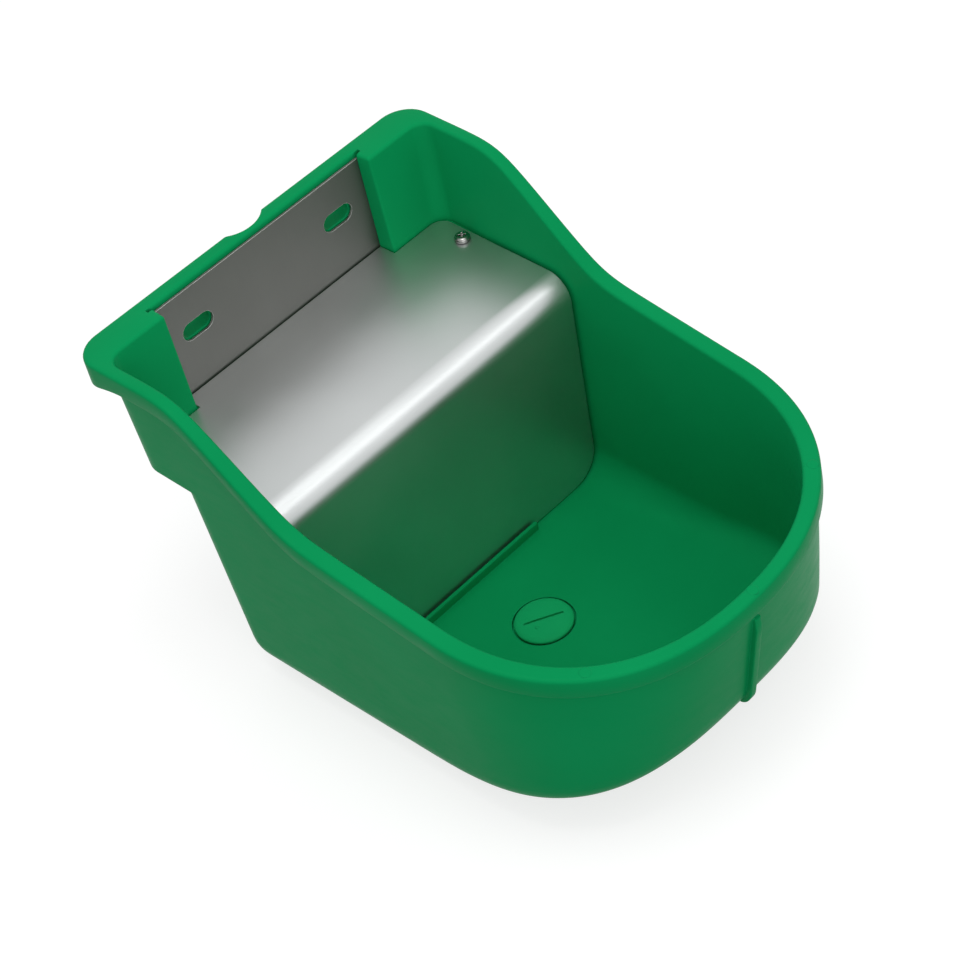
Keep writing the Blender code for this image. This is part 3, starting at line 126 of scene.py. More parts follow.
# The backing plate
PLATE_THICKNESS = 0.002
PLATE_IN_SLOT = 0.0033
PLATE_SLOT_PLAY = 0.0006
PLATE_BELOW_RIM = 0.0030
PLATE_CORNER = 0.003
PLATE_EDGE = 0.0002
PLATE_SHEET = 0.0014
BOLT_SPACING = 0.106
BOLT_BELOW_RIM = 0.0291
BOLT_SLOT_LENGTH = 0.0215
BOLT_SLOT_WIDTH = 0.0112
WALL_SLOT_INSET = 0.0008
SLOT_BOSS_WALL = 0.0028

# The cover
COVER_THICKNESS = 0.0012
COVER_SIDE_GAP = 0.0020
COVER_PLATE_GAP = 0.0010
COVER_BLOCK_GAP = 0.0009
COVER_TOP_DEPTH = 0.1258
COVER_BEND_RADIUS = 0.015
COVER_LEAN = math.radians(1.4)
COVER_FLOOR_GAP = 0.0008
COVER_FOOT_RADIUS = 0.020
COVER_SHOULDER_RADIUS = 0.009

# The cover's screws; the head's form is in shares of its radius and height
COVER_SCREW_SPACING = 0.2096
COVER_SCREW_DEPTH = 0.050
SCREW_HEAD_RADIUS = 0.0048
SCREW_HEAD_HEIGHT = 0.0030
SCREW_SHANK_RADIUS = 0.0024
SCREW_LENGTH = 0.013
SCREW_SOCKET_RADIUS = 0.0019
SCREW_SOCKET_DEPTH = 0.0016
SCREW_BOSS_RADIUS = 0.0062
SCREW_BOSS_HEIGHT = 0.0125
SCREW_TIP_SHARE = 2 / 3
SCREW_FOOT_SHARE = 0.96
SCREW_FOOT_RISE = 0.06
SCREW_SIDE_RISE = 0.3
SCREW_CROWN_SHARE = 0.55
SCREW_FLAT_SHARE = 0.3
SCREW_EDGE_SHARE = 0.03
SOCKET_ARM_SHARE = 1.15
SOCKET_HALF_SHARE = 0.32
SCREW_TURN = 20
SCREW_TURN_APART = 25

# Ribs, blades and the notch
FLOOR_RIB_HALF_LENGTH = 0.0515
FLOOR_RIB_WIDTH = 0.0026
FLOOR_RIB_HEIGHT = 0.0055
FLOOR_RIB_GAP = 0.0014
FLOOR_RIB_EDGE = 0.0006
GUSSET_OFFSET = 0.087
GUSSET_THICKNESS = 0.0045
GUSSET_HEIGHT = 0.036
GUSSET_ROUND = 0.008
FRONT_RIB_THICKNESS = 0.0045
FRONT_RIB_OFFSET = 0.003
FRONT_RIB_PROUD = 0.0030
FRONT_RIB_BELOW_RIM = 0.0180
FRONT_RIB_ROOT = 0.0020
FRONT_RIB_END_TURN = math.radians(15)
FRONT_RIB_TOP_SHARE = 0.1
FLANGE_POCKET_SKIN = 0.0040
FLANGE_POCKET_BITE = 0.0003
HANG_NOTCH_WIDTH = 0.029
HANG_NOTCH_DEPTH = 0.0068

# The pads that the mould's pins leave on the rim; the form is in shares of both sizes
PAD_RADIUS = 0.0031
PAD_PROUD = 0.0003
PAD_FORM = ((1, -1), (1, 1 / 3), (0.92, 0.8), (0.8, 1))
PAD_PLACES = ((-0.0858, 0.3136), (0.0038, 0.3430), (0.0854, 0.3152))

# The drain
DRAIN_DEPTH = 0.1782
DRAIN_HEAD_RADIUS = 0.0170
DRAIN_HEAD_EDGE = 0.0010
DRAIN_DOME_RISE = 0.0024
DRAIN_DOME_POWER = 0.5
DRAIN_STEM_RADIUS = 0.0115
DRAIN_RECESS_RADIUS = 0.0182
DRAIN_RECESS_DEPTH = 0.0022
DRAIN_SEAL_THICKNESS = 0.0008
DRAIN_STEM_LIFT = 0.0006
DRAIN_EDGE_ROUND = 0.0005
DRAIN_PIP_RADIUS = 0.0010
DRAIN_PIP_PROUD = 0.0005
DRAIN_PIP_PLACE = (-0.0075, -0.0020)
COIN_SLOT_WIDTH = 0.0015
COIN_SLOT_LENGTH = 0.0235
COIN_SLOT_DEPTH = 0.0014
COIN_SLOT_TURN = math.radians(-31)

# The inlet; the ridge's form is in shares of the thread's pitch and height
INLET_OFFSET = 0.062
INLET_HEIGHT = 0.118
INLET_RADIUS = 0.0104
INLET_END_DEPTH = 0.0240
INLET_BOSS_RADIUS = 0.0175
INLET_BOSS_PROUD = 0.0025
THREAD_PITCH = 0.0018
THREAD_PROUD = 0.0008
THREAD_TURNS = 5
THREAD_FADE_TURNS = 0.25
THREAD_FORM = ((-0.35, 0.0), (-0.08, 1.0), (0.08, 1.0), (0.35, 0.0))

# Fineness
FILLET_STEPS = 14
ROUND_STEPS = 5
LIP_FOOT_STEPS = 2
WALL_STEPS = 8
SETTLING_TURNS = 10
RECESS_STEPS = 8
BLOCK_STEPS = 6
CORNER_STEPS = 10
SIDE_STEPS = 72
FRONT_STEPS = 48
ARC_STEPS = 12
SLOT_END_STEPS = 20
COVER_BEND_STEPS = 24
COVER_FRONT_STEPS = 8
COVER_FOOT_STEPS = 16
COVER_COLUMNS = 16
SCREW_HEAD_STEPS = 9
DOME_STEPS = 22
ROUND_SEGMENTS = 96
SCREW_SEGMENTS = 64
PAD_SEGMENTS = 48
PIP_SEGMENTS = 24
THREAD_SEGMENTS = 48
SMOOTH_ANGLE = math.radians(32)
BEVEL_ANGLE = math.radians(40)
FLAT_WEIGHT = 100

# In front of this depth the side's stations hardly move from row to row, so that no face
# is skewed where the rim falls; behind it they follow each row's own corner
SIDE_MEET = 0.0745
SIDE_MEET_RUN = 0.003
SIDE_REAR_SHARE = 1 / 6

# Levels
LEDGE_TOP = BOWL_HEIGHT - LEDGE_BELOW_RIM
LEDGE_UNDER = LEDGE_TOP - LEDGE_THICKNESS
COVER_TOP = LEDGE_TOP + GAP + COVER_THICKNESS
BOLT_HEIGHT = BOWL_HEIGHT - BOLT_BELOW_RIM
PLATE_FRONT = RECESS_DEPTH + GAP + PLATE_THICKNESS
PLATE_BOTTOM = LEDGE_TOP + GAP

# The camera: its place, where it looks and how it is turned
CAMERA_PLACE = (-0.61249, -0.81707, 1.06365)
CAMERA_PAN = math.radians(-36.38)
CAMERA_TILT = math.radians(43.13)
CAMERA_ROLL = math.radians(-14.19)
CAMERA_LENS = 97.24
CAMERA_SENSOR = 36.0


def at(x, depth, z):
    """A point given by its distance forward from the back edge."""
    return Vector((x, BOWL_HIGH.y - depth, BOWL_LOW.z + z))


def put(name, data):
    """A new object in the scene."""
    item = bpy.data.objects.new(name, data)
    bpy.context.scene.collection.objects.link(item)
    return item


def make_object(name, points, faces, smooth=True):
    """An object from points and faces, with its faces turned outwards."""
    mesh = bpy.data.meshes.new(name)
    mesh.from_pydata([tuple(p) for p in points], [], faces)
    build = bmesh.new()
    build.from_mesh(mesh)
    bmesh.ops.recalc_face_normals(build, faces=build.faces)
    build.to_mesh(mesh)
    build.free()
    if smooth:
        mesh.shade_smooth()
        mesh.set_sharp_from_angle(angle=SMOOTH_ANGLE)
    return put(name, mesh)


def apply_modifiers(item, smooth=True):
    """Replace an object's mesh by what its modifiers make of it."""
    bpy.context.view_layer.update()
    view = bpy.context.evaluated_depsgraph_get()
    result = bpy.data.meshes.new_from_object(item.evaluated_get(view))
    item.modifiers.clear()
    item.data = result
    if smooth:
        result.shade_smooth()
        result.set_sharp_from_angle(angle=SMOOTH_ANGLE)


def boolean(target, tools, operation):
    """Cut tools from an object, or join them on, one after another, and delete them."""
    for tool in tools:
        step = target.modifiers.new(operation, "BOOLEAN")
        step.operation = operation
        step.solver = "MANIFOLD"
        step.object = tool
        apply_modifiers(target)
        bpy.data.objects.remove(tool, do_unlink=True)


def keep_flat(item):
    """Let the large faces set the shading, so that flats beside rounded edges stay flat."""
    step = item.modifiers.new("flat", "WEIGHTED_NORMAL")
    step.weight = FLAT_WEIGHT
    step.keep_sharp = True
    apply_modifiers(item, smooth=False)


def bevel(item, width, segments=3):
    """Round an object's sharp edges."""
    step = item.modifiers.new("edges", "BEVEL")
    step.width = width
    step.segments = segments
    step.limit_method = "ANGLE"
    step.angle_limit = BEVEL_ANGLE
    apply_modifiers(item)


def loft(name, rings):
    """Closed rings of equal length, joined into one skin with a cap at each end."""
    count = len(rings[0])
    points = [point for ring in rings for point in ring]
    faces = []
    for level in range(len(rings) - 1):
        low = level * count
        high = low + count
        for i in range(count):
            j = (i + 1) % count
            faces.append((low + i, low + j, high + j, high + i))
    last = (len(rings) - 1) * count
    faces.append(tuple(range(count)))
    faces.append(tuple(range(last, last + count)))
    return make_object(name, points, faces)


def axis_frame(centre, direction):
    """A frame whose Z runs along a direction."""
    turn = Vector(direction).to_track_quat("Z", "Y").to_matrix().to_4x4()
    return Matrix.Translation(centre) @ turn


def turned(name, profile, centre, direction, segments=ROUND_SEGMENTS):
    """A solid of revolution from (radius, height) pairs."""
    place = axis_frame(centre, direction)
    rings = []
    for radius, height in profile:
        ring = []
        for i in range(segments):
            angle = math.tau * i / segments
            local = Vector((radius * math.cos(angle), radius * math.sin(angle), height))
            ring.append(place @ local)
        rings.append(ring)
    return loft(name, rings)


def rod(name, radius, start, end, centre, direction, segments=ROUND_SEGMENTS):
    """A plain cylinder between two distances along its axis."""
    return turned(name, [(radius, start), (radius, end)], centre, direction, segments)


def prism(name, outline, start, end, place):
    """An outline in a frame's XY plane, extruded along the frame's Z."""
    rings = []
    for height in (start, end):
        rings.append([place @ Vector((x, y, height)) for x, y in outline])
    return loft(name, rings)


def arc(cx, cy, radius, start, end, steps):
    """Points on an arc, with angles in degrees."""
    points = []
    for i in range(steps + 1):
        angle = math.radians(start + (end - start) * i / steps)
        points.append((cx + radius * math.cos(angle), cy + radius * math.sin(angle)))
    return points


def directions(path):
    """The way along a path of (depth, height) points, at each of them."""
    last = len(path) - 1
    pairs = [(path[max(i - 1, 0)], path[min(i + 1, last)]) for i in range(last + 1)]
    return [Vector((b[0] - a[0], b[1] - a[1])).normalized() for a, b in pairs]


def slot_outline(length, width):
    """A horizontal slot with round ends, centred on the origin."""
    run = (length - width) / 2
    right = arc(run, 0, width / 2, -90, 90, SLOT_END_STEPS)
    return right + [(-x, -y) for x, y in right]


def box(name, low, high):
    """A box between two opposite corners."""
    outline = [(low[0], low[1]), (high[0], low[1]), (high[0], high[1]), (low[0], high[1])]
    return prism(name, outline, low[2], high[2], Matrix())


def side_frame(x):
    """A frame whose X runs forward, Y up, and Z along the world's X."""
    turn = Matrix(((0, 0, 1), (-1, 0, 0), (0, 1, 0))).to_4x4()
    return Matrix.Translation(at(x, 0, 0)) @ turn


def back_frame(x, depth, z):
    """A frame seen from the front: X to the right, Y up, and Z forward."""
    turn = Matrix(((1, 0, 0), (0, 0, -1), (0, 1, 0))).to_4x4()
    return Matrix.Translation(at(x, depth, z)) @ turn


def screw_place(side, z):
    """A point on the axis of one of the cover's screws."""
    return at(side * COVER_SCREW_SPACING / 2, COVER_SCREW_DEPTH, z)


def bolt_slot(side, grow, start, end):
    """A solid as wide as a bolt's slot, or wider by a margin, between two depths."""
    outline = slot_outline(BOLT_SLOT_LENGTH + 2 * grow, BOLT_SLOT_WIDTH + 2 * grow)
    place = back_frame(side * BOLT_SPACING / 2, 0, BOLT_HEIGHT)
    return prism("bolt_slot", outline, start, end, place)


# The bowl's skin: rows from the underside to the floor, each with the same stations


def stations():
    """Places around the right half of the plan, from the back centre to the front."""
    parts = (("recess", 0, RECESS_STEPS), ("jog", 0, ROUND_STEPS), ("block", 1, BLOCK_STEPS),
             ("corner", 1, CORNER_STEPS), ("side", 1, SIDE_STEPS), ("front", 1, FRONT_STEPS))
    return [(part, i / steps) for part, first, steps in parts
            for i in range(first, steps + 1)]


STATIONS = stations()


def soft_ramp(distance):
    """Zero before the start, a straight climb after it, and a smooth bend between."""
    return RIM_BLEND * math.log1p(math.exp(distance / RIM_BLEND))


def rim_height(depth):
    """The rim's top: level at the back, a steep fall, and a gentle one to the front."""
    steep = soft_ramp(depth - FALL_START) - soft_ramp(depth - FALL_END)
    gentle = soft_ramp(depth - FALL_END)
    return BOWL_HEIGHT - FALL_SLOPE * steep - FRONT_SLOPE * gentle


FRONT_RIM = rim_height(BOWL_DEPTH)


def side_half(plan, depth):
    """Half the width at a depth: the sides draw together towards the front."""
    return plan["half"] - math.tan(SIDE_TOE_IN) * (depth - FLANGE_CORNER_RADIUS)


def plan_point(station, plan):
    """A station's place on a plan, which has its own width, backs, corner and front."""
    part, share = station
    block = plan["block"]
    radius = plan["corner"]
    jog = plan["jog"]
    start = plan["front"] - plan["round"]
    corner_x = side_half(plan, block + radius) - radius
    jog_round = min(JOG_ROUND, abs(block - plan["centre"]) / 2)
    first = jog + JOG_RUN + JOG_ROUND
    if part == "recess":
        return share * jog, plan["centre"]
    if part == "jog":
        angle = share * math.pi / 2
        x = first - JOG_ROUND * math.cos(angle)
        return x, block - jog_round * (1 - math.sin(angle))
    if part == "block":
        return first + share * (corner_x - first), block
    if part == "corner":
        angle = share * math.pi / 2
        x = corner_x + radius * math.sin(angle)
        return x, block + radius * (1 - math.cos(angle))
    if part == "side":
        rear = block + radius
        meet = max(SIDE_MEET, rear + SIDE_MEET_RUN)
        if share < SIDE_REAR_SHARE:
            depth = rear + share / SIDE_REAR_SHARE * (meet - rear)
        else:
            fore = (share - SIDE_REAR_SHARE) / (1 - SIDE_REAR_SHARE)
            depth = meet + fore * (start - meet)
        return side_half(plan, depth), depth
    angle = share * math.pi / 2
    power = 2 / plan["power"]
    x = side_half(plan, start) * max(math.cos(angle), 0) ** power
    if share == 1:
        x = 0
    return x, start + plan["round"] * math.sin(angle) ** power


def front_share(station):
    """Nought at the sides and back, one at the middle of the front."""
    part, share = station
    if part != "front":
        return 0.0
    return math.sin(share * math.pi / 2) ** FRONT_FILLET_POWER


def wall_plan(z, inset, upper):
    """The plan of the wall at a height, its outer face moved inwards by an inset."""
    inner = inset > WALL / 2
    rounding = max(WALL - inset, 0) if inner else 0
    below_rim = BOWL_HEIGHT - z
    low = max(min((z - SIDE_FILLET_RISE) / (FRONT_RIM - SIDE_FILLET_RISE), 1), 0)
    power = BASE_ROUND_POWER + (FRONT_ROUND_POWER - BASE_ROUND_POWER) * low
    plan = {
        "half": BOWL_WIDTH / 2 - LIP_PROUD - inset - below_rim * math.tan(SIDE_DRAFT),
        "front": BOWL_DEPTH - (FRONT_RIM - z) * math.tan(FRONT_DRAFT),
        "round": FRONT_ROUND_LENGTH - inset,
        "power": power,
    }
    if inner:
        slope = math.tan(FRONT_DRAFT_INSIDE)
        plan["front"] = BOWL_DEPTH - LIP_PROUD - inset - (FRONT_RIM - z) * slope
    if upper:
        slide = below_rim * math.tan(UPPER_BACK_DRAFT)
        centre = RECESS_DEPTH if inner else RECESS_DEPTH - RECESS_WALL
        block = BLOCK_DEPTH if inner else BLOCK_OUTER_DEPTH
        corner = POCKET_CORNER_RADIUS if inner else FLANGE_CORNER_RADIUS
        plan["centre"] = centre - rounding
        plan["block"] = block + slide - rounding
        plan["corner"] = corner + rounding
        plan["jog"] = RECESS_HALF_WIDTH + (0 if inner else JOG_OUTSET) + rounding
    else:
        depth = LOWER_BACK_DEPTH + (LEDGE_UNDER - z) * math.tan(BACK_DRAFT) + inset
        plan["centre"] = depth
        plan["block"] = depth
        plan["corner"] = LOWER_CORNER_RADIUS - inset / 2
        plan["jog"] = RECESS_HALF_WIDTH * LOWER_BLOCK_SHARE
    return plan


def lip_plan(inset):
    """The plan of the rim's lip, with the flange that reaches back to the wall."""
    return {
        "half": BOWL_WIDTH / 2 - inset,
        "front": BOWL_DEPTH - inset,
        "round": FRONT_ROUND_LENGTH - inset,
        "power": FRONT_ROUND_POWER,
        "centre": inset,
        "block": inset,
        "corner": FLANGE_CORNER_RADIUS - inset,
        "jog": RECESS_HALF_WIDTH + JOG_OUTSET,
    }


def lip_height(depth):
    """The lip is deepest across the back and thins along the sides."""
    share = max(min(1 - depth / FLANGE_RUN, 1), 0)
    ease = share * share * (3 - 2 * share)
    return LIP_HEIGHT + (FLANGE_HEIGHT - LIP_HEIGHT) * ease


def foot_height(station, inset):
    """The height at which the wall turns into the underside's fillet."""
    rise = SIDE_FILLET_RISE + (FRONT_FILLET_RISE - SIDE_FILLET_RISE) * front_share(station)
    return rise + (FLOOR - inset if inset else 0)


def fillet_row(turn, inset):
    """A row of the fillet under the wall; turn goes from 0 at the wall to a right angle."""
    row = []
    level = FLOOR if inset else 0
    side = SIDE_FILLET_REACH - inset
    share = 1 - math.cos(turn)
    for station in STATIONS:
        rise = foot_height(station, inset) - level
        z = level + rise * (1 - math.sin(turn))
        plan = wall_plan(z, inset, upper=False)
        plan["half"] -= side * share
        plan["centre"] += side * share
        plan["block"] += side * share
        plan["front"] -= (FRONT_FILLET_REACH - inset) * share
        plan["round"] *= 1 - FRONT_SHRINK_SHARE * share
        plan["corner"] *= 1 - CORNER_SHRINK_SHARE * share
        row.append((*plan_point(station, plan), z))
    return row


def settled(station, plan_of, level_of):
    """A point whose height depends on its depth, and its depth on its height."""
    x, depth = plan_point(station, plan_of(FRONT_RIM))
    for _ in range(SETTLING_TURNS):
        z = level_of(depth)
        x, depth = plan_point(station, plan_of(z))
    return x, depth, z


def wall_row(level_at_back, inset, upper):
    """A row of the wall, level at the back and lower towards the front."""
    row = []
    top = BOWL_HEIGHT - FLANGE_HEIGHT
    rear_foot = foot_height(STATIONS[0], inset)
    share = (level_at_back - rear_foot) / (top - rear_foot)
    for station in STATIONS:
        foot = foot_height(station, inset)

        def level_of(depth, foot=foot):
            return foot + share * (rim_height(depth) - FLANGE_HEIGHT - foot)

        row.append(settled(station, lambda z: wall_plan(z, inset, upper), level_of))
    return row


def rim_row(plan_of, below):
    """A row on the rim, at a distance below its top."""
    return [settled(station, plan_of, lambda depth: rim_height(depth) - below)
            for station in STATIONS]


def lip_foot_row(plan_of, above=0.0):
    """A row at the lower edge of the lip, or a little above it."""
    def level_of(depth):
        return rim_height(depth) - lip_height(depth) + above

    return [settled(station, plan_of, level_of) for station in STATIONS]


def both_sides(row):
    """A whole ring: the right half and its mirror image."""
    right = [at(*point) for point in row]
    left = [at(-x, depth, z) for x, depth, z in reversed(row[1:-1])]
    return right + left


def quarter(steps):
    """Shares (sideways, down) of a quarter round, from its side to its top."""
    found = []
    for i in range(steps + 1):
        angle = math.pi / 2 * i / steps
        found.append((1 - math.cos(angle), 1 - math.sin(angle)))
    return found


def bowl_rows():
    """The skin from the underside, up the outside, over the rim and down to the floor."""
    def inner(inset):
        return lambda z: wall_plan(z, WALL + inset, True)

    def lip(inset):
        return lambda z: lip_plan(inset)

    turns = [math.pi / 2 * (1 - i / FILLET_STEPS) for i in range(FILLET_STEPS + 1)]
    outer_foot = foot_height(STATIONS[0], 0)
    inner_foot = foot_height(STATIONS[0], WALL)
    rows = [fillet_row(turn, 0) for turn in turns]
    for i in range(1, WALL_STEPS + 1):
        level = outer_foot + i / WALL_STEPS * (LEDGE_UNDER - outer_foot)
        rows.append(wall_row(level, 0, upper=False))
    rows.append(wall_row(LEDGE_UNDER + LEDGE_FALL, 0, upper=True))
    rows.append(lip_foot_row(lambda z: wall_plan(z, 0, True)))
    for above, inset in quarter(LIP_FOOT_STEPS):
        rows.append(lip_foot_row(lip(LIP_FOOT_ROUND * inset), LIP_FOOT_ROUND * above))
    for inset, below in quarter(ROUND_STEPS):
        rows.append(rim_row(lip(RIM_ROUND * inset), RIM_ROUND * below))
    for inset, below in reversed(quarter(ROUND_STEPS)):
        rows.append(rim_row(inner(-RIM_ROUND * inset), RIM_ROUND * below))
    rows.append(wall_row(LEDGE_TOP, WALL, upper=True))
    for i in range(WALL_STEPS, 0, -1):
        level = inner_foot + i / WALL_STEPS * (LEDGE_TOP - LEDGE_FALL - inner_foot)
        rows.append(wall_row(level, WALL, upper=False))
    rows += [fillet_row(turn, WALL) for turn in reversed(turns)]
    return rows


def depth_of_lower_back(z):
    """The depth of the lower back wall's outer face."""
    return LOWER_BACK_DEPTH + (LEDGE_UNDER - z) * math.tan(BACK_DRAFT)


def gussets():
    """Two blades under the ledge that steady the bowl against the wall."""
    low = LEDGE_UNDER - GUSSET_HEIGHT
    rear = BLOCK_OUTER_DEPTH + (BOWL_HEIGHT - LEDGE_UNDER) * math.tan(UPPER_BACK_DRAFT)
    fore = depth_of_lower_back(low) + WALL / 2
    high = LEDGE_UNDER + LEDGE_THICKNESS / 2
    outline = [(fore, low), (fore, high), (rear, high)]
    radius = GUSSET_ROUND
    outline += arc(rear + radius, low + radius, radius, 180, 270, ARC_STEPS)
    half = GUSSET_THICKNESS / 2
    return [prism("blade", outline, -half, half, side_frame(side * GUSSET_OFFSET))
            for side in SIDES]


def front_rib():
    """A blade down the middle of the front, which follows the wall under the bowl."""
    middle = STATIONS[-1]
    top = FRONT_RIM - FRONT_RIB_BELOW_RIM
    foot = foot_height(middle, 0)
    spine = []
    for i in range(WALL_STEPS):
        z = top + (foot - top) * i / WALL_STEPS
        spine.append((plan_point(middle, wall_plan(z, 0, upper=False))[1], z))
    for i in range(FILLET_STEPS + 1):
        point = fillet_row(FRONT_RIB_END_TURN * i / FILLET_STEPS, 0)[-1]
        spine.append((point[1], point[2]))
    outside = []
    inside = []
    last = len(spine) - 1
    for i, run in enumerate(directions(spine)):
        out = Vector((-run.y, run.x))
        fade = min((last - i) / (FILLET_STEPS / 2), i + FRONT_RIB_TOP_SHARE, 1)
        proud = FRONT_RIB_PROUD * math.sqrt(1 - (1 - fade) ** 2)
        here = Vector(spine[i])
        outside.append(tuple(here + out * proud))
        inside.append(tuple(here - out * FRONT_RIB_ROOT))
    half = FRONT_RIB_THICKNESS / 2
    place = side_frame(FRONT_RIB_OFFSET)
    rib = prism("front_blade", outside + inside[::-1], -half, half, place)
    bevel(rib, FLOOR_RIB_EDGE)
    return rib


def bosses():
    """Bosses for the screws, bolts and inlet, and the rib before the cover."""
    made = []
    for side in SIDES:
        made.append(rod("boss", SCREW_BOSS_RADIUS, -SCREW_BOSS_HEIGHT, LEDGE_THICKNESS / 2,
                        screw_place(side, LEDGE_UNDER), UP))
        made.append(bolt_slot(side, SLOT_BOSS_WALL, GAP, RECESS_DEPTH - RECESS_WALL / 2))
    outer = depth_of_lower_back(INLET_HEIGHT + INLET_BOSS_RADIUS) - INLET_BOSS_PROUD
    inner = (depth_of_lower_back(INLET_HEIGHT - INLET_BOSS_RADIUS) + WALL
             + INLET_BOSS_PROUD / 2)
    made.append(rod("inlet_boss", INLET_BOSS_RADIUS, outer, inner,
                    at(INLET_OFFSET, 0, INLET_HEIGHT), FORWARD))
    low = cover_path()[-1][0] + FLOOR_RIB_GAP
    outline = slot_outline(2 * FLOOR_RIB_HALF_LENGTH, FLOOR_RIB_WIDTH)
    place = Matrix.Translation(at(0, low + FLOOR_RIB_WIDTH / 2, 0))
    rib = prism("floor_rib", outline, FLOOR / 2, FLOOR + FLOOR_RIB_HEIGHT, place)
    bevel(rib, FLOOR_RIB_EDGE)
    made.append(rib)
    return made


def rim_pads():
    """Three low round pads on the rim's top, left by the mould's pins."""
    made = []
    for x, depth in PAD_PLACES:
        climb = rim_height(depth + PAD_RADIUS) - rim_height(depth - PAD_RADIUS)
        up = Vector((0, climb / (2 * PAD_RADIUS), 1)).normalized()
        profile = [(PAD_RADIUS * out, PAD_PROUD * over) for out, over in PAD_FORM]
        centre = at(x, depth, rim_height(depth))
        made.append(turned("pad", profile, centre, up, PAD_SEGMENTS))
    return made


def back_cuts():
    """Slots for the plate and the bolts, a notch for hanging, and the hollow flange."""
    half = RECESS_HALF_WIDTH + PLATE_IN_SLOT + PLATE_SLOT_PLAY
    made = [box("plate_slot", at(-half, PLATE_FRONT + GAP, LEDGE_TOP),
                at(half, RECESS_DEPTH, BOWL_HEIGHT + OVERRUN))]
    for side in SIDES:
        made.append(bolt_slot(side, -WALL_SLOT_INSET, -OVERRUN, RECESS_DEPTH + OVERRUN))
        pocket = (side * (RECESS_HALF_WIDTH + JOG_OUTSET + JOG_RUN),
                  side * (BOWL_WIDTH / 2 - FLANGE_CORNER_RADIUS))
        low = at(min(pocket), BLOCK_OUTER_DEPTH + FLANGE_POCKET_BITE,
                 BOWL_HEIGHT - FLANGE_HEIGHT - OVERRUN)
        high = at(max(pocket), FLANGE_POCKET_SKIN, BOWL_HEIGHT - FLANGE_POCKET_SKIN)
        made.append(box("flange_pocket", low, high))
    half = HANG_NOTCH_WIDTH / 2
    radius = (half * half + HANG_NOTCH_DEPTH * HANG_NOTCH_DEPTH) / (2 * HANG_NOTCH_DEPTH)
    centre = at(0, HANG_NOTCH_DEPTH - radius, BOWL_HEIGHT)
    made.append(rod("notch", radius, -FLANGE_HEIGHT - OVERRUN, OVERRUN, centre, UP,
                    2 * ROUND_SEGMENTS))
    return made


def hole_cuts():
    """Holes for the cover's screws, the inlet and the drain."""
    made = []
    for side in SIDES:
        depth = LEDGE_THICKNESS + SCREW_BOSS_HEIGHT + OVERRUN
        made.append(rod("pilot", SCREW_SHANK_RADIUS + GAP, -depth, OVERRUN,
                        screw_place(side, LEDGE_TOP), UP))
    made.append(rod("inlet_hole", INLET_RADIUS + PILOT_GAP, 0, COVER_TOP_DEPTH / 2,
                    at(INLET_OFFSET, 0, INLET_HEIGHT), FORWARD))
    seat = FLOOR - DRAIN_RECESS_DEPTH
    hole = DRAIN_STEM_RADIUS + PILOT_GAP
    recess = DRAIN_RECESS_RADIUS
    profile = [(hole, -OVERRUN), (hole, seat), (recess, seat), (recess, FLOOR + OVERRUN)]
    made.append(turned("drain", profile, at(0, DRAIN_DEPTH, 0), UP))
    return made


def make_bowl():
    """The one-piece moulded bowl, with its cuts and ribs."""
    bowl = loft("bowl_skin", [both_sides(row) for row in bowl_rows()])
    boolean(bowl, gussets() + [front_rib()] + bosses() + rim_pads(), "UNION")
    boolean(bowl, back_cuts() + hole_cuts(), "DIFFERENCE")
    return bowl


# The cover


def cover_shoulder_depth():
    """The depth of the cover's rear edges beside the tab, just clear of the blocks."""
    return BLOCK_DEPTH + LEDGE_BELOW_RIM * math.tan(UPPER_BACK_DRAFT) + COVER_BLOCK_GAP


def cover_path():
    """The cover's outer face seen from the side, from its rear edge to its foot."""
    rear = PLATE_FRONT + COVER_PLATE_GAP
    block = cover_shoulder_depth()
    turn = math.pi / 2 + COVER_LEAN
    centre = (COVER_TOP_DEPTH - COVER_BEND_RADIUS, COVER_TOP - COVER_BEND_RADIUS)
    path = [(rear, COVER_TOP)]
    for i in range(ARC_STEPS + 1):
        angle = math.pi / 2 * i / ARC_STEPS
        path.append((block + COVER_SHOULDER_RADIUS * (1 - math.cos(angle)), COVER_TOP))
    path.append((COVER_SCREW_DEPTH + SCREW_HEAD_RADIUS, COVER_TOP))
    for i in range(COVER_BEND_STEPS + 1):
        angle = math.pi / 2 - turn * i / COVER_BEND_STEPS
        path.append((centre[0] + COVER_BEND_RADIUS * math.cos(angle),
                     centre[1] + COVER_BEND_RADIUS * math.sin(angle)))
    start = path[-1]
    foot = FLOOR + COVER_FLOOR_GAP
    fall = foot + COVER_FOOT_RADIUS - start[1]
    steps = COVER_FRONT_STEPS
    levels = [start[1] + fall * i / steps for i in range(1, steps + 1)]
    for i in range(1, COVER_FOOT_STEPS + 1):
        angle = math.pi / 2 * i / COVER_FOOT_STEPS
        levels.append(foot + COVER_FOOT_RADIUS * (1 - math.sin(angle)))
    return path + [(start[0] - (start[1] - z) * math.tan(COVER_LEAN), z) for z in levels]


def cover_half_width(depth, z):
    """Half the cover's width, which follows the bowl's wall and the fillet at its foot."""
    foot = FLOOR + COVER_FLOOR_GAP + COVER_FOOT_RADIUS
    plan = wall_plan(max(z, foot), WALL, upper=False)
    half = side_half(plan, depth) - COVER_SIDE_GAP
    if z < foot:
        drop = (foot - z) / COVER_FOOT_RADIUS
        half -= COVER_FOOT_RADIUS * (1 - math.sqrt(max(1 - drop * drop, 0)))
    shoulder = cover_shoulder_depth() + COVER_SHOULDER_RADIUS
    if depth < shoulder:
        back = min((shoulder - depth) / COVER_SHOULDER_RADIUS, 1)
        half -= COVER_SHOULDER_RADIUS * (1 - math.sqrt(1 - back * back))
    return half


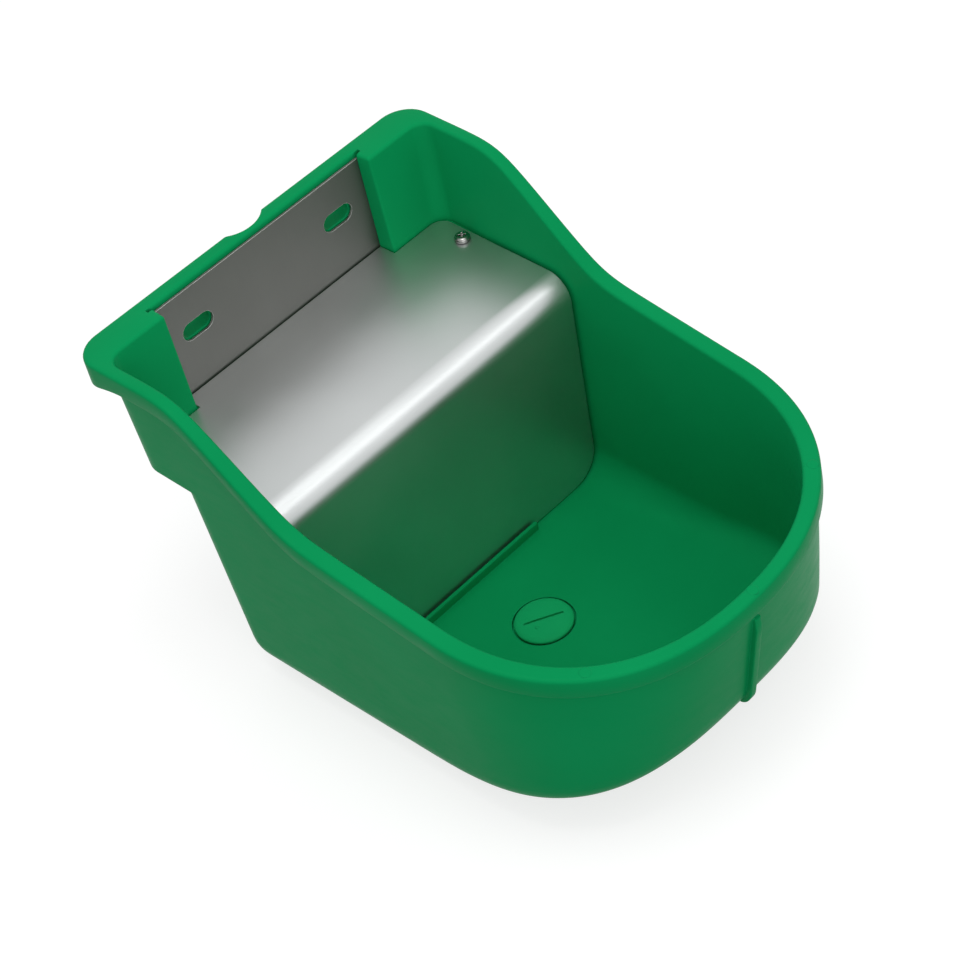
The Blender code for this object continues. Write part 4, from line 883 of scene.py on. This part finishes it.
def make_cover():
    """A sheet bent over the valve, cut to the outline of the bowl's inside."""
    path = cover_path()
    tab = RECESS_HALF_WIDTH - GAP
    columns = [tab * (2 * i / COVER_COLUMNS - 1) for i in range(COVER_COLUMNS + 1)]
    width = len(columns) + 2
    points = []
    for thickness in (0, COVER_THICKNESS):
        for (depth, z), run in zip(path, directions(path)):
            half = cover_half_width(depth, z)
            for x in [-half, *columns, half]:
                points.append(at(x, depth + run.y * thickness, z - run.x * thickness))
    count = len(path) * width
    faces = []
    edges = {}
    cells = [(0, column) for column in range(1, width - 2)]
    for row in range(1, len(path) - 1):
        cells += [(row, column) for column in range(width - 1)]
    for row, column in cells:
        a = row * width + column
        ring = (a, a + 1, a + 1 + width, a + width)
        faces.append(ring)
        faces.append(tuple(count + i for i in reversed(ring)))
        for i in range(len(ring)):
            pair = (ring[i], ring[(i + 1) % len(ring)])
            if (pair[1], pair[0]) in edges:
                del edges[(pair[1], pair[0])]
            else:
                edges[pair] = True
    for a, b in edges:
        faces.append((b, a, count + a, count + b))
    used = sorted({index for face in faces for index in face})
    place = {index: i for i, index in enumerate(used)}
    faces = [tuple(place[index] for index in face) for face in faces]
    cover = make_object("cover_skin", [points[index] for index in used], faces)
    radius = SCREW_SHANK_RADIUS + GAP
    deep = COVER_THICKNESS + OVERRUN
    holes = [rod("hole", radius, -deep, OVERRUN, screw_place(side, COVER_TOP), UP)
             for side in SIDES]
    boolean(cover, holes, "DIFFERENCE")
    keep_flat(cover)
    return cover


def make_plate():
    """The steel plate between the blocks, with its edges broken."""
    half = RECESS_HALF_WIDTH + PLATE_IN_SLOT
    high = BOWL_HEIGHT - PLATE_BELOW_RIM
    outline = [(-half, PLATE_BOTTOM), (half, PLATE_BOTTOM)]
    top = high - PLATE_CORNER
    outline += arc(half - PLATE_CORNER, top, PLATE_CORNER, 0, 90, ARC_STEPS)
    outline += arc(PLATE_CORNER - half, top, PLATE_CORNER, 90, 180, ARC_STEPS)
    start = PLATE_FRONT - PLATE_SHEET
    plate = prism("plate_skin", outline, 0, PLATE_SHEET, back_frame(0, start, 0))
    slots = [bolt_slot(side, 0, start - OVERRUN, PLATE_FRONT + OVERRUN) for side in SIDES]
    boolean(plate, slots, "DIFFERENCE")
    bevel(plate, PLATE_EDGE, 2)
    keep_flat(plate)
    return plate


def make_screw(name, side):
    """A pan-head screw with a cross recess."""
    head = SCREW_HEAD_RADIUS
    rise = SCREW_HEAD_HEIGHT
    shank = SCREW_SHANK_RADIUS
    profile = [(shank * SCREW_TIP_SHARE, -SCREW_LENGTH), (shank, -SCREW_LENGTH + shank),
               (shank, 0), (head * SCREW_FOOT_SHARE, 0), (head, rise * SCREW_FOOT_RISE),
               (head, rise * SCREW_SIDE_RISE)]
    for i in range(1, SCREW_HEAD_STEPS):
        angle = math.pi / 2 * i / SCREW_HEAD_STEPS
        out = SCREW_CROWN_SHARE + (1 - SCREW_CROWN_SHARE) * math.cos(angle)
        over = SCREW_SIDE_RISE + (1 - SCREW_SIDE_RISE) * math.sin(angle)
        profile.append((head * out, rise * over))
    profile.append((head * SCREW_FLAT_SHARE, rise))
    centre = screw_place(side, COVER_TOP + GAP)
    screw = turned(name, profile, centre, UP, SCREW_SEGMENTS)
    arm = SCREW_SOCKET_RADIUS * SOCKET_ARM_SHARE
    half = SCREW_SOCKET_RADIUS * SOCKET_HALF_SHARE
    cross = [(arm, half), (half, half), (half, arm),
             (-half, arm), (-half, half), (-arm, half)]
    cross += [(-x, -y) for x, y in cross]
    turn = math.radians(SCREW_TURN + SCREW_TURN_APART * side)
    place = Matrix.Translation(centre) @ Matrix.Rotation(turn, 4, "Z")
    recess = prism("recess", cross, rise - SCREW_SOCKET_DEPTH, rise + OVERRUN, place)
    boolean(screw, [recess], "DIFFERENCE")
    bevel(screw, head * SCREW_EDGE_SHARE, 2)
    keep_flat(screw)
    return screw


def make_plug():
    """The domed plug with its coin slot, and the small gate mark beside the slot."""
    centre = at(0, DRAIN_DEPTH, 0)
    under = FLOOR - DRAIN_RECESS_DEPTH + GAP + DRAIN_SEAL_THICKNESS + GAP
    stem = DRAIN_STEM_RADIUS
    head = DRAIN_HEAD_RADIUS
    edge = under + DRAIN_HEAD_EDGE
    inset = DRAIN_SEAL_THICKNESS
    soft = DRAIN_EDGE_ROUND
    profile = [(stem - inset, DRAIN_STEM_LIFT), (stem, DRAIN_STEM_LIFT + inset),
               (stem, under), (head - soft / 2, under), (head, under + soft / 2),
               (head, edge)]
    for i in range(1, DOME_STEPS):
        angle = math.pi / 2 * i / DOME_STEPS
        out = head * math.cos(angle) ** DRAIN_DOME_POWER
        profile.append((out, edge + DRAIN_DOME_RISE * math.sin(angle)))
    plug = turned("plug_skin", profile, centre, UP)
    top = edge + DRAIN_DOME_RISE
    place = Matrix.Translation(centre) @ Matrix.Rotation(COIN_SLOT_TURN, 4, "Z")
    slot = prism("coin_slot", slot_outline(COIN_SLOT_LENGTH, COIN_SLOT_WIDTH),
                 top - COIN_SLOT_DEPTH, top + OVERRUN, place)
    pip = turned("pip", [(DRAIN_PIP_RADIUS, -DRAIN_PIP_RADIUS), (DRAIN_PIP_RADIUS, 0),
                         (DRAIN_PIP_RADIUS / 2, DRAIN_PIP_PROUD)],
                 centre + Vector((*DRAIN_PIP_PLACE, top)), UP, PIP_SEGMENTS)
    boolean(plug, [pip], "UNION")
    boolean(plug, [slot], "DIFFERENCE")
    return plug


def make_thread():
    """The thread on the inlet's free end, as rolled ridges around the stem."""
    centre = at(INLET_OFFSET, INLET_END_DEPTH + THREAD_PITCH, INLET_HEIGHT)
    place = axis_frame(centre, FORWARD)
    last = THREAD_SEGMENTS * THREAD_TURNS
    rings = []
    for i in range(last + 1):
        angle = math.tau * i / THREAD_SEGMENTS
        fade = min(i, last - i) / (THREAD_SEGMENTS * THREAD_FADE_TURNS)
        height = THREAD_PROUD * min(fade, 1)
        ring = []
        for along, out in THREAD_FORM:
            radius = INLET_RADIUS - THREAD_PROUD / 2 + (height + THREAD_PROUD / 2) * out
            x, y = radius * math.cos(angle), radius * math.sin(angle)
            z = THREAD_PITCH * (i / THREAD_SEGMENTS + along)
            ring.append(place @ Vector((x, y, z)))
        rings.append(ring)
    return loft("inlet_thread", rings)


# Materials: noise scales are per metre, radii and bump distances in metres


WHITE = (1.0, 1.0, 1.0)
CUT_STEEL = (0.66, 0.66, 0.65)
PLASTIC_IOR = 1.49
PLASTIC_SPECULAR = 0.02
PLASTIC_TINT = (0.45, 1.0, 0.7)

# Most of a noise lies between these values
NOISE_LOW = 0.3
NOISE_HIGH = 0.7

# How far a normal turns away on an edge where the edge colour starts, and where it is full
EDGE_MASK_START = 0.02
EDGE_MASK_FULL = 0.25
BEVEL_SAMPLES = 6


class Nodes:
    """A material's node tree, with short calls for the nodes that the finishes share."""

    def __init__(self, name):
        self.material = bpy.data.materials.new(name)
        self.material.use_nodes = True
        self.tree = self.material.node_tree
        self.shader = self.tree.nodes["Principled BSDF"]
        self.place = self.node("ShaderNodeTexCoord").outputs["Object"]

    def node(self, kind, **values):
        made = self.tree.nodes.new(kind)
        for key, value in values.items():
            setattr(made, key, value)
        return made

    def link(self, source, target):
        self.tree.links.new(source, target)

    def stretched(self, scale):
        """The object's own coordinates, scaled along each axis."""
        mapping = self.node("ShaderNodeMapping")
        mapping.inputs["Scale"].default_value = scale
        self.link(self.place, mapping.inputs["Vector"])
        return mapping.outputs["Vector"]

    def noise(self, scale, detail, rough, vector=None):
        made = self.node("ShaderNodeTexNoise")
        made.inputs["Scale"].default_value = scale
        made.inputs["Detail"].default_value = detail
        made.inputs["Roughness"].default_value = rough
        self.link(vector or self.place, made.inputs["Vector"])
        return made.outputs["Fac"]

    def spread(self, source, to_low=0.0, to_high=1.0, low=NOISE_LOW, high=NOISE_HIGH):
        """A value mapped from one range to another and held inside it."""
        made = self.node("ShaderNodeMapRange")
        made.inputs["From Min"].default_value = low
        made.inputs["From Max"].default_value = high
        made.inputs["To Min"].default_value = to_low
        made.inputs["To Max"].default_value = to_high
        self.link(source, made.inputs["Value"])
        return made.outputs["Result"]

    def blend(self, share, first, second):
        """A colour between two, by a share; either may be a socket."""
        made = self.node("ShaderNodeMix", data_type="RGBA")
        self.link(share, made.inputs["Factor"])
        for socket, value in (("A", first), ("B", second)):
            target = [i for i in made.inputs if i.name == socket and i.type == "RGBA"][0]
            if isinstance(value, tuple):
                target.default_value = (*value, 1.0)
            else:
                self.link(value, target)
        return [o for o in made.outputs if o.type == "RGBA"][0]

    def math(self, operation, first, second):
        made = self.node("ShaderNodeMath", operation=operation)
        for socket, value in zip(made.inputs, (first, second)):
            if isinstance(value, (int, float)):
                socket.default_value = value
            else:
                self.link(value, socket)
        return made.outputs["Value"]

    def edge_mask(self, radius):
        """One on edges and nought on flats, from how far a rounded normal turns away."""
        rounded = self.node("ShaderNodeBevel", samples=BEVEL_SAMPLES)
        rounded.inputs["Radius"].default_value = radius
        plain = self.node("ShaderNodeNewGeometry").outputs["Normal"]
        dot = self.node("ShaderNodeVectorMath", operation="DOT_PRODUCT")
        self.link(rounded.outputs["Normal"], dot.inputs[0])
        self.link(plain, dot.inputs[1])
        return self.spread(dot.outputs["Value"], low=1 - EDGE_MASK_START, high=1 - EDGE_MASK_FULL)

    def bump(self, height, distance, strength=1.0, rounded=None, under=None):
        """Bump from a height, on top of rounded edges or of another bump."""
        made = self.node("ShaderNodeBump")
        made.inputs["Distance"].default_value = distance
        made.inputs["Strength"].default_value = strength
        self.link(height, made.inputs["Height"])
        if rounded:
            corner = self.node("ShaderNodeBevel", samples=BEVEL_SAMPLES)
            corner.inputs["Radius"].default_value = rounded
            self.link(corner.outputs["Normal"], made.inputs["Normal"])
        if under:
            self.link(under, made.inputs["Normal"])
        return made.outputs["Normal"]

    def set(self, **values):
        """Constants and links for the shader's own sockets, with _ for a space."""
        for key, value in values.items():
            socket = self.shader.inputs[key.replace("_", " ")]
            if isinstance(value, bpy.types.NodeSocket):
                self.link(value, socket)
            elif isinstance(value, tuple):
                socket.default_value = (*value, 1.0)
            else:
                socket.default_value = value
        return self.material


def moulded_plastic(name, deep, light, edge, gloss=0.34, tint=PLASTIC_TINT):
    """Injection-moulded plastic: faint flow clouds, fine grain, edges partly rubbed and
    partly painted highlight.
    """
    n = Nodes(name)
    flow = n.noise(scale=9.0, detail=3.0, rough=0.5)
    grain = n.noise(scale=900.0, detail=3.0, rough=0.6)
    scuff = n.noise(scale=60.0, detail=6.0, rough=0.65, vector=n.stretched((1.0, 1.0, 3.0)))
    waves = n.noise(scale=14.0, detail=2.0, rough=0.4)
    patches = n.spread(scuff, to_low=0.25, to_high=0.8, low=0.35, high=0.65)
    # Lighter edge colour: partly rubbed wear, partly a painted highlight along the rounded
    # edges
    rubbed_and_highlit = n.math("MULTIPLY", n.edge_mask(radius=0.0009), patches)
    colour = n.blend(rubbed_and_highlit, n.blend(n.spread(flow), deep, light), edge)
    rough = n.math("ADD", n.spread(scuff, to_low=gloss - 0.05, to_high=gloss + 0.07),
                   n.spread(grain, to_low=-0.02, to_high=0.02))
    under = n.bump(waves, distance=0.0006, strength=0.5, rounded=0.0006)
    normal = n.bump(grain, distance=0.00002, under=under)
    return n.set(Base_Color=colour, Roughness=rough, Normal=normal, IOR=PLASTIC_IOR,
                 Specular_IOR_Level=PLASTIC_SPECULAR, Specular_Tint=tint)


def sheet_steel(name, dark, light, rough_low, rough_high, lines_scale, wave=0.0004):
    """Rolled or brushed sheet: fine lines, slow waves, faint smudges and bright edges."""
    n = Nodes(name)
    lines = n.noise(scale=1.0, detail=3.0, rough=0.5, vector=n.stretched(lines_scale))
    smudge = n.noise(scale=14.0, detail=3.0, rough=0.45)
    waves = n.noise(scale=7.0, detail=1.0, rough=0.3)
    sheet = n.blend(n.spread(smudge), dark, light)
    colour = n.blend(n.edge_mask(radius=0.0007), sheet, CUT_STEEL)
    rough = n.math("ADD", n.spread(smudge, to_low=rough_low, to_high=rough_high),
                   n.spread(lines, to_low=-0.01, to_high=0.01))
    under = n.bump(waves, distance=wave, strength=0.2, rounded=0.0003)
    normal = n.bump(lines, distance=0.000004, strength=0.4, under=under)
    return n.set(Base_Color=colour, Metallic=1.0, Roughness=rough, Normal=normal)


def turned_metal(name, dark, light, rough):
    """Turned or stamped metal with a thin tarnish."""
    n = Nodes(name)
    tarnish = n.noise(scale=120.0, detail=6.0, rough=0.6)
    fine = n.noise(scale=1600.0, detail=2.0, rough=0.5)
    colour = n.blend(n.spread(tarnish, low=0.35, high=0.65), dark, light)
    finish = n.spread(tarnish, to_low=rough + 0.1, to_high=rough - 0.06)
    normal = n.bump(fine, distance=0.00001, strength=0.6, rounded=0.0003)
    return n.set(Base_Color=colour, Metallic=1.0, Roughness=finish, Normal=normal)


def soft_rubber(name, dark, bloomed):
    """Black rubber with a faint grey bloom."""
    n = Nodes(name)
    bloom = n.noise(scale=80.0, detail=5.0, rough=0.6)
    grain = n.noise(scale=1200.0, detail=3.0, rough=0.6)
    colour = n.blend(n.spread(bloom, low=0.4), dark, bloomed)
    rough = n.spread(bloom, to_low=0.7, to_high=0.88)
    normal = n.bump(grain, distance=0.00004, strength=0.8, rounded=0.0003)
    return n.set(Base_Color=colour, Roughness=rough, Normal=normal)


def make_materials():
    """A finish for each of the record's material slots."""
    return {
        # Each plastic edge colour below is partly rubbed wear and partly a painted highlight
        # on the edges
        "green_plastic": moulded_plastic(
            "moulded_green", deep=(0.0025, 0.262, 0.080), light=(0.0035, 0.290, 0.092),
            edge=(0.010, 0.42, 0.17)),
        "plug_green": moulded_plastic(
            "plug_green", deep=(0.006, 0.345, 0.112), light=(0.009, 0.375, 0.125),
            edge=(0.018, 0.46, 0.18), gloss=0.32),
        "cover_steel": sheet_steel(
            "satin_steel", dark=(0.58, 0.60, 0.60), light=(0.63, 0.65, 0.65),
            rough_low=0.36, rough_high=0.39, lines_scale=(20.0, 700.0, 700.0)),
        "plate_steel": sheet_steel(
            "mill_steel", dark=(0.165, 0.165, 0.153), light=(0.19, 0.19, 0.178),
            rough_low=0.44, rough_high=0.50, lines_scale=(300.0, 300.0, 40.0), wave=0.0001),
        "screw_steel": turned_metal(
            "bright_steel", dark=(0.26, 0.26, 0.25), light=(0.40, 0.40, 0.39), rough=0.22),
        "brass": turned_metal(
            "turned_brass", dark=(0.46, 0.32, 0.12), light=(0.68, 0.50, 0.21), rough=0.26),
        "rubber": soft_rubber(
            "black_rubber", dark=(0.012, 0.012, 0.013), bloomed=(0.03, 0.03, 0.031)),
        "white_nylon": moulded_plastic(
            "white_nylon", deep=(0.68, 0.68, 0.64), light=(0.76, 0.76, 0.73),
            edge=(0.85, 0.85, 0.83), gloss=0.42, tint=WHITE),
        "float_plastic": moulded_plastic(
            "float_blue", deep=(0.016, 0.035, 0.12), light=(0.022, 0.046, 0.15),
            edge=(0.08, 0.12, 0.25), gloss=0.4, tint=WHITE),
    }


def dress(item, material):
    """Give an object one material in place of any that it has."""
    item.data.materials.clear()
    item.data.materials.append(material)


# Studio: each lamp has its place, its two sides and its power


FLOOR_HALF = 6.0
FLOOR_WHITE = 0.36
FLOOR_ROUGH = 0.9
FLOOR_LIFT = 0.72
WORLD_LIGHT = 0.66
LAMP_AIM = (0.0, 0.0, 0.1)
LAMPS = {
    "overhead": ((-0.10, -0.15, 1.90), (0.7, 0.7), 9.0),
    "strip": ((0.90, -0.95, 1.80), (1.4, 0.35), 3.0),
    "front_box": ((-0.85, -1.65, 1.00), (1.2, 1.0), 7.0),
}


def make_floor():
    """A wide white floor that keeps the bowl's soft shadow."""
    half = FLOOR_HALF
    corners = [(-half, -half, 0), (half, -half, 0), (half, half, 0), (-half, half, 0)]
    floor = make_object("floor", corners, [(0, 1, 2, 3)], smooth=False)
    n = Nodes("floor_white")
    n.set(Base_Color=(FLOOR_WHITE, FLOOR_WHITE, FLOOR_WHITE), Roughness=FLOOR_ROUGH,
          Specular_IOR_Level=0.0, Emission_Color=WHITE)
    path = n.node("ShaderNodeLightPath")
    seen = n.math("MAXIMUM", path.outputs["Is Camera Ray"], path.outputs["Is Glossy Ray"])
    seen = n.math("MAXIMUM", seen, path.outputs["Is Transmission Ray"])
    n.set(Emission_Strength=n.math("MULTIPLY", seen, FLOOR_LIFT))
    dress(floor, n.material)


def make_world():
    """White where the camera or a polished face sees it, and a plain light elsewhere."""
    world = bpy.data.worlds.new("studio")
    bpy.context.scene.world = world
    world.use_nodes = True
    tree = world.node_tree
    back = tree.nodes["Background"]
    back.inputs["Color"].default_value = (*WHITE, 1.0)
    path = tree.nodes.new("ShaderNodeLightPath")
    target = back.inputs["Strength"]
    for ray in ("Is Transmission Ray", "Is Glossy Ray", "Is Camera Ray"):
        brighter = tree.nodes.new("ShaderNodeMath")
        brighter.operation = "MAXIMUM"
        tree.links.new(path.outputs[ray], brighter.inputs[0])
        tree.links.new(brighter.outputs["Value"], target)
        target = brighter.inputs[1]
    target.default_value = WORLD_LIGHT


def make_lamps():
    """Soft boxes above and in front, and a strip that the cover's bend mirrors."""
    for name, (place, size, power) in LAMPS.items():
        lamp = bpy.data.lights.new(name, "AREA")
        lamp.shape = "RECTANGLE"
        lamp.size = size[0]
        lamp.size_y = size[1]
        lamp.energy = power
        item = put(name, lamp)
        item.location = place
        aim = Vector(LAMP_AIM) - Vector(place)
        item.rotation_euler = aim.to_track_quat("-Z", "Y").to_euler()


def make_camera():
    """The camera of the photograph, fitted to the bowl's outline and edges."""
    pan = CAMERA_PAN
    tilt = CAMERA_TILT
    back = Vector((math.sin(pan) * math.cos(tilt), -math.cos(pan) * math.cos(tilt),
                   math.sin(tilt)))
    right = Vector((math.cos(pan), math.sin(pan), 0))
    up = back.cross(right)
    side = right * math.cos(CAMERA_ROLL) + up * math.sin(CAMERA_ROLL)
    over = up * math.cos(CAMERA_ROLL) - right * math.sin(CAMERA_ROLL)
    lens = bpy.data.cameras.new("camera")
    lens.lens = CAMERA_LENS
    lens.sensor_width = CAMERA_SENSOR
    camera = put("camera", lens)
    turn = Matrix((side, over, back)).transposed().to_4x4()
    camera.matrix_world = Matrix.Translation(Vector(CAMERA_PLACE)) @ turn
    bpy.context.scene.camera = camera


def main():
    bpy.context.scene.view_settings.view_transform = "Standard"
    finishes = make_materials()
    pieces = [
        (make_bowl(), "bowl", "green_plastic", "bowl_body"),
        (make_cover(), "bowl", "cover_steel", "valve_cover"),
        (make_plate(), "bowl", "plate_steel", "back_plate"),
        (make_screw("screw_skin_left", -1), "bowl", "screw_steel", "cover_screw_left"),
        (make_screw("screw_skin_right", 1), "bowl", "screw_steel", "cover_screw_right"),
        (make_plug(), "plug", "plug_green", "drain_plug"),
        (make_thread(), "bowl", "brass", None),
    ]
    for item, body, slot, node in pieces:
        dress(item, finishes[slot])
        if node:
            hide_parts(node)
        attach(item, body)
    slots = {entry["node"]: entry["material_slot"] for entry in frame["record"]["subparts"]}
    for name, item in frame["nodes"].items():
        dress(item, finishes[slots[name]])
    make_floor()
    make_world()
    make_lamps()
    make_camera()


main()
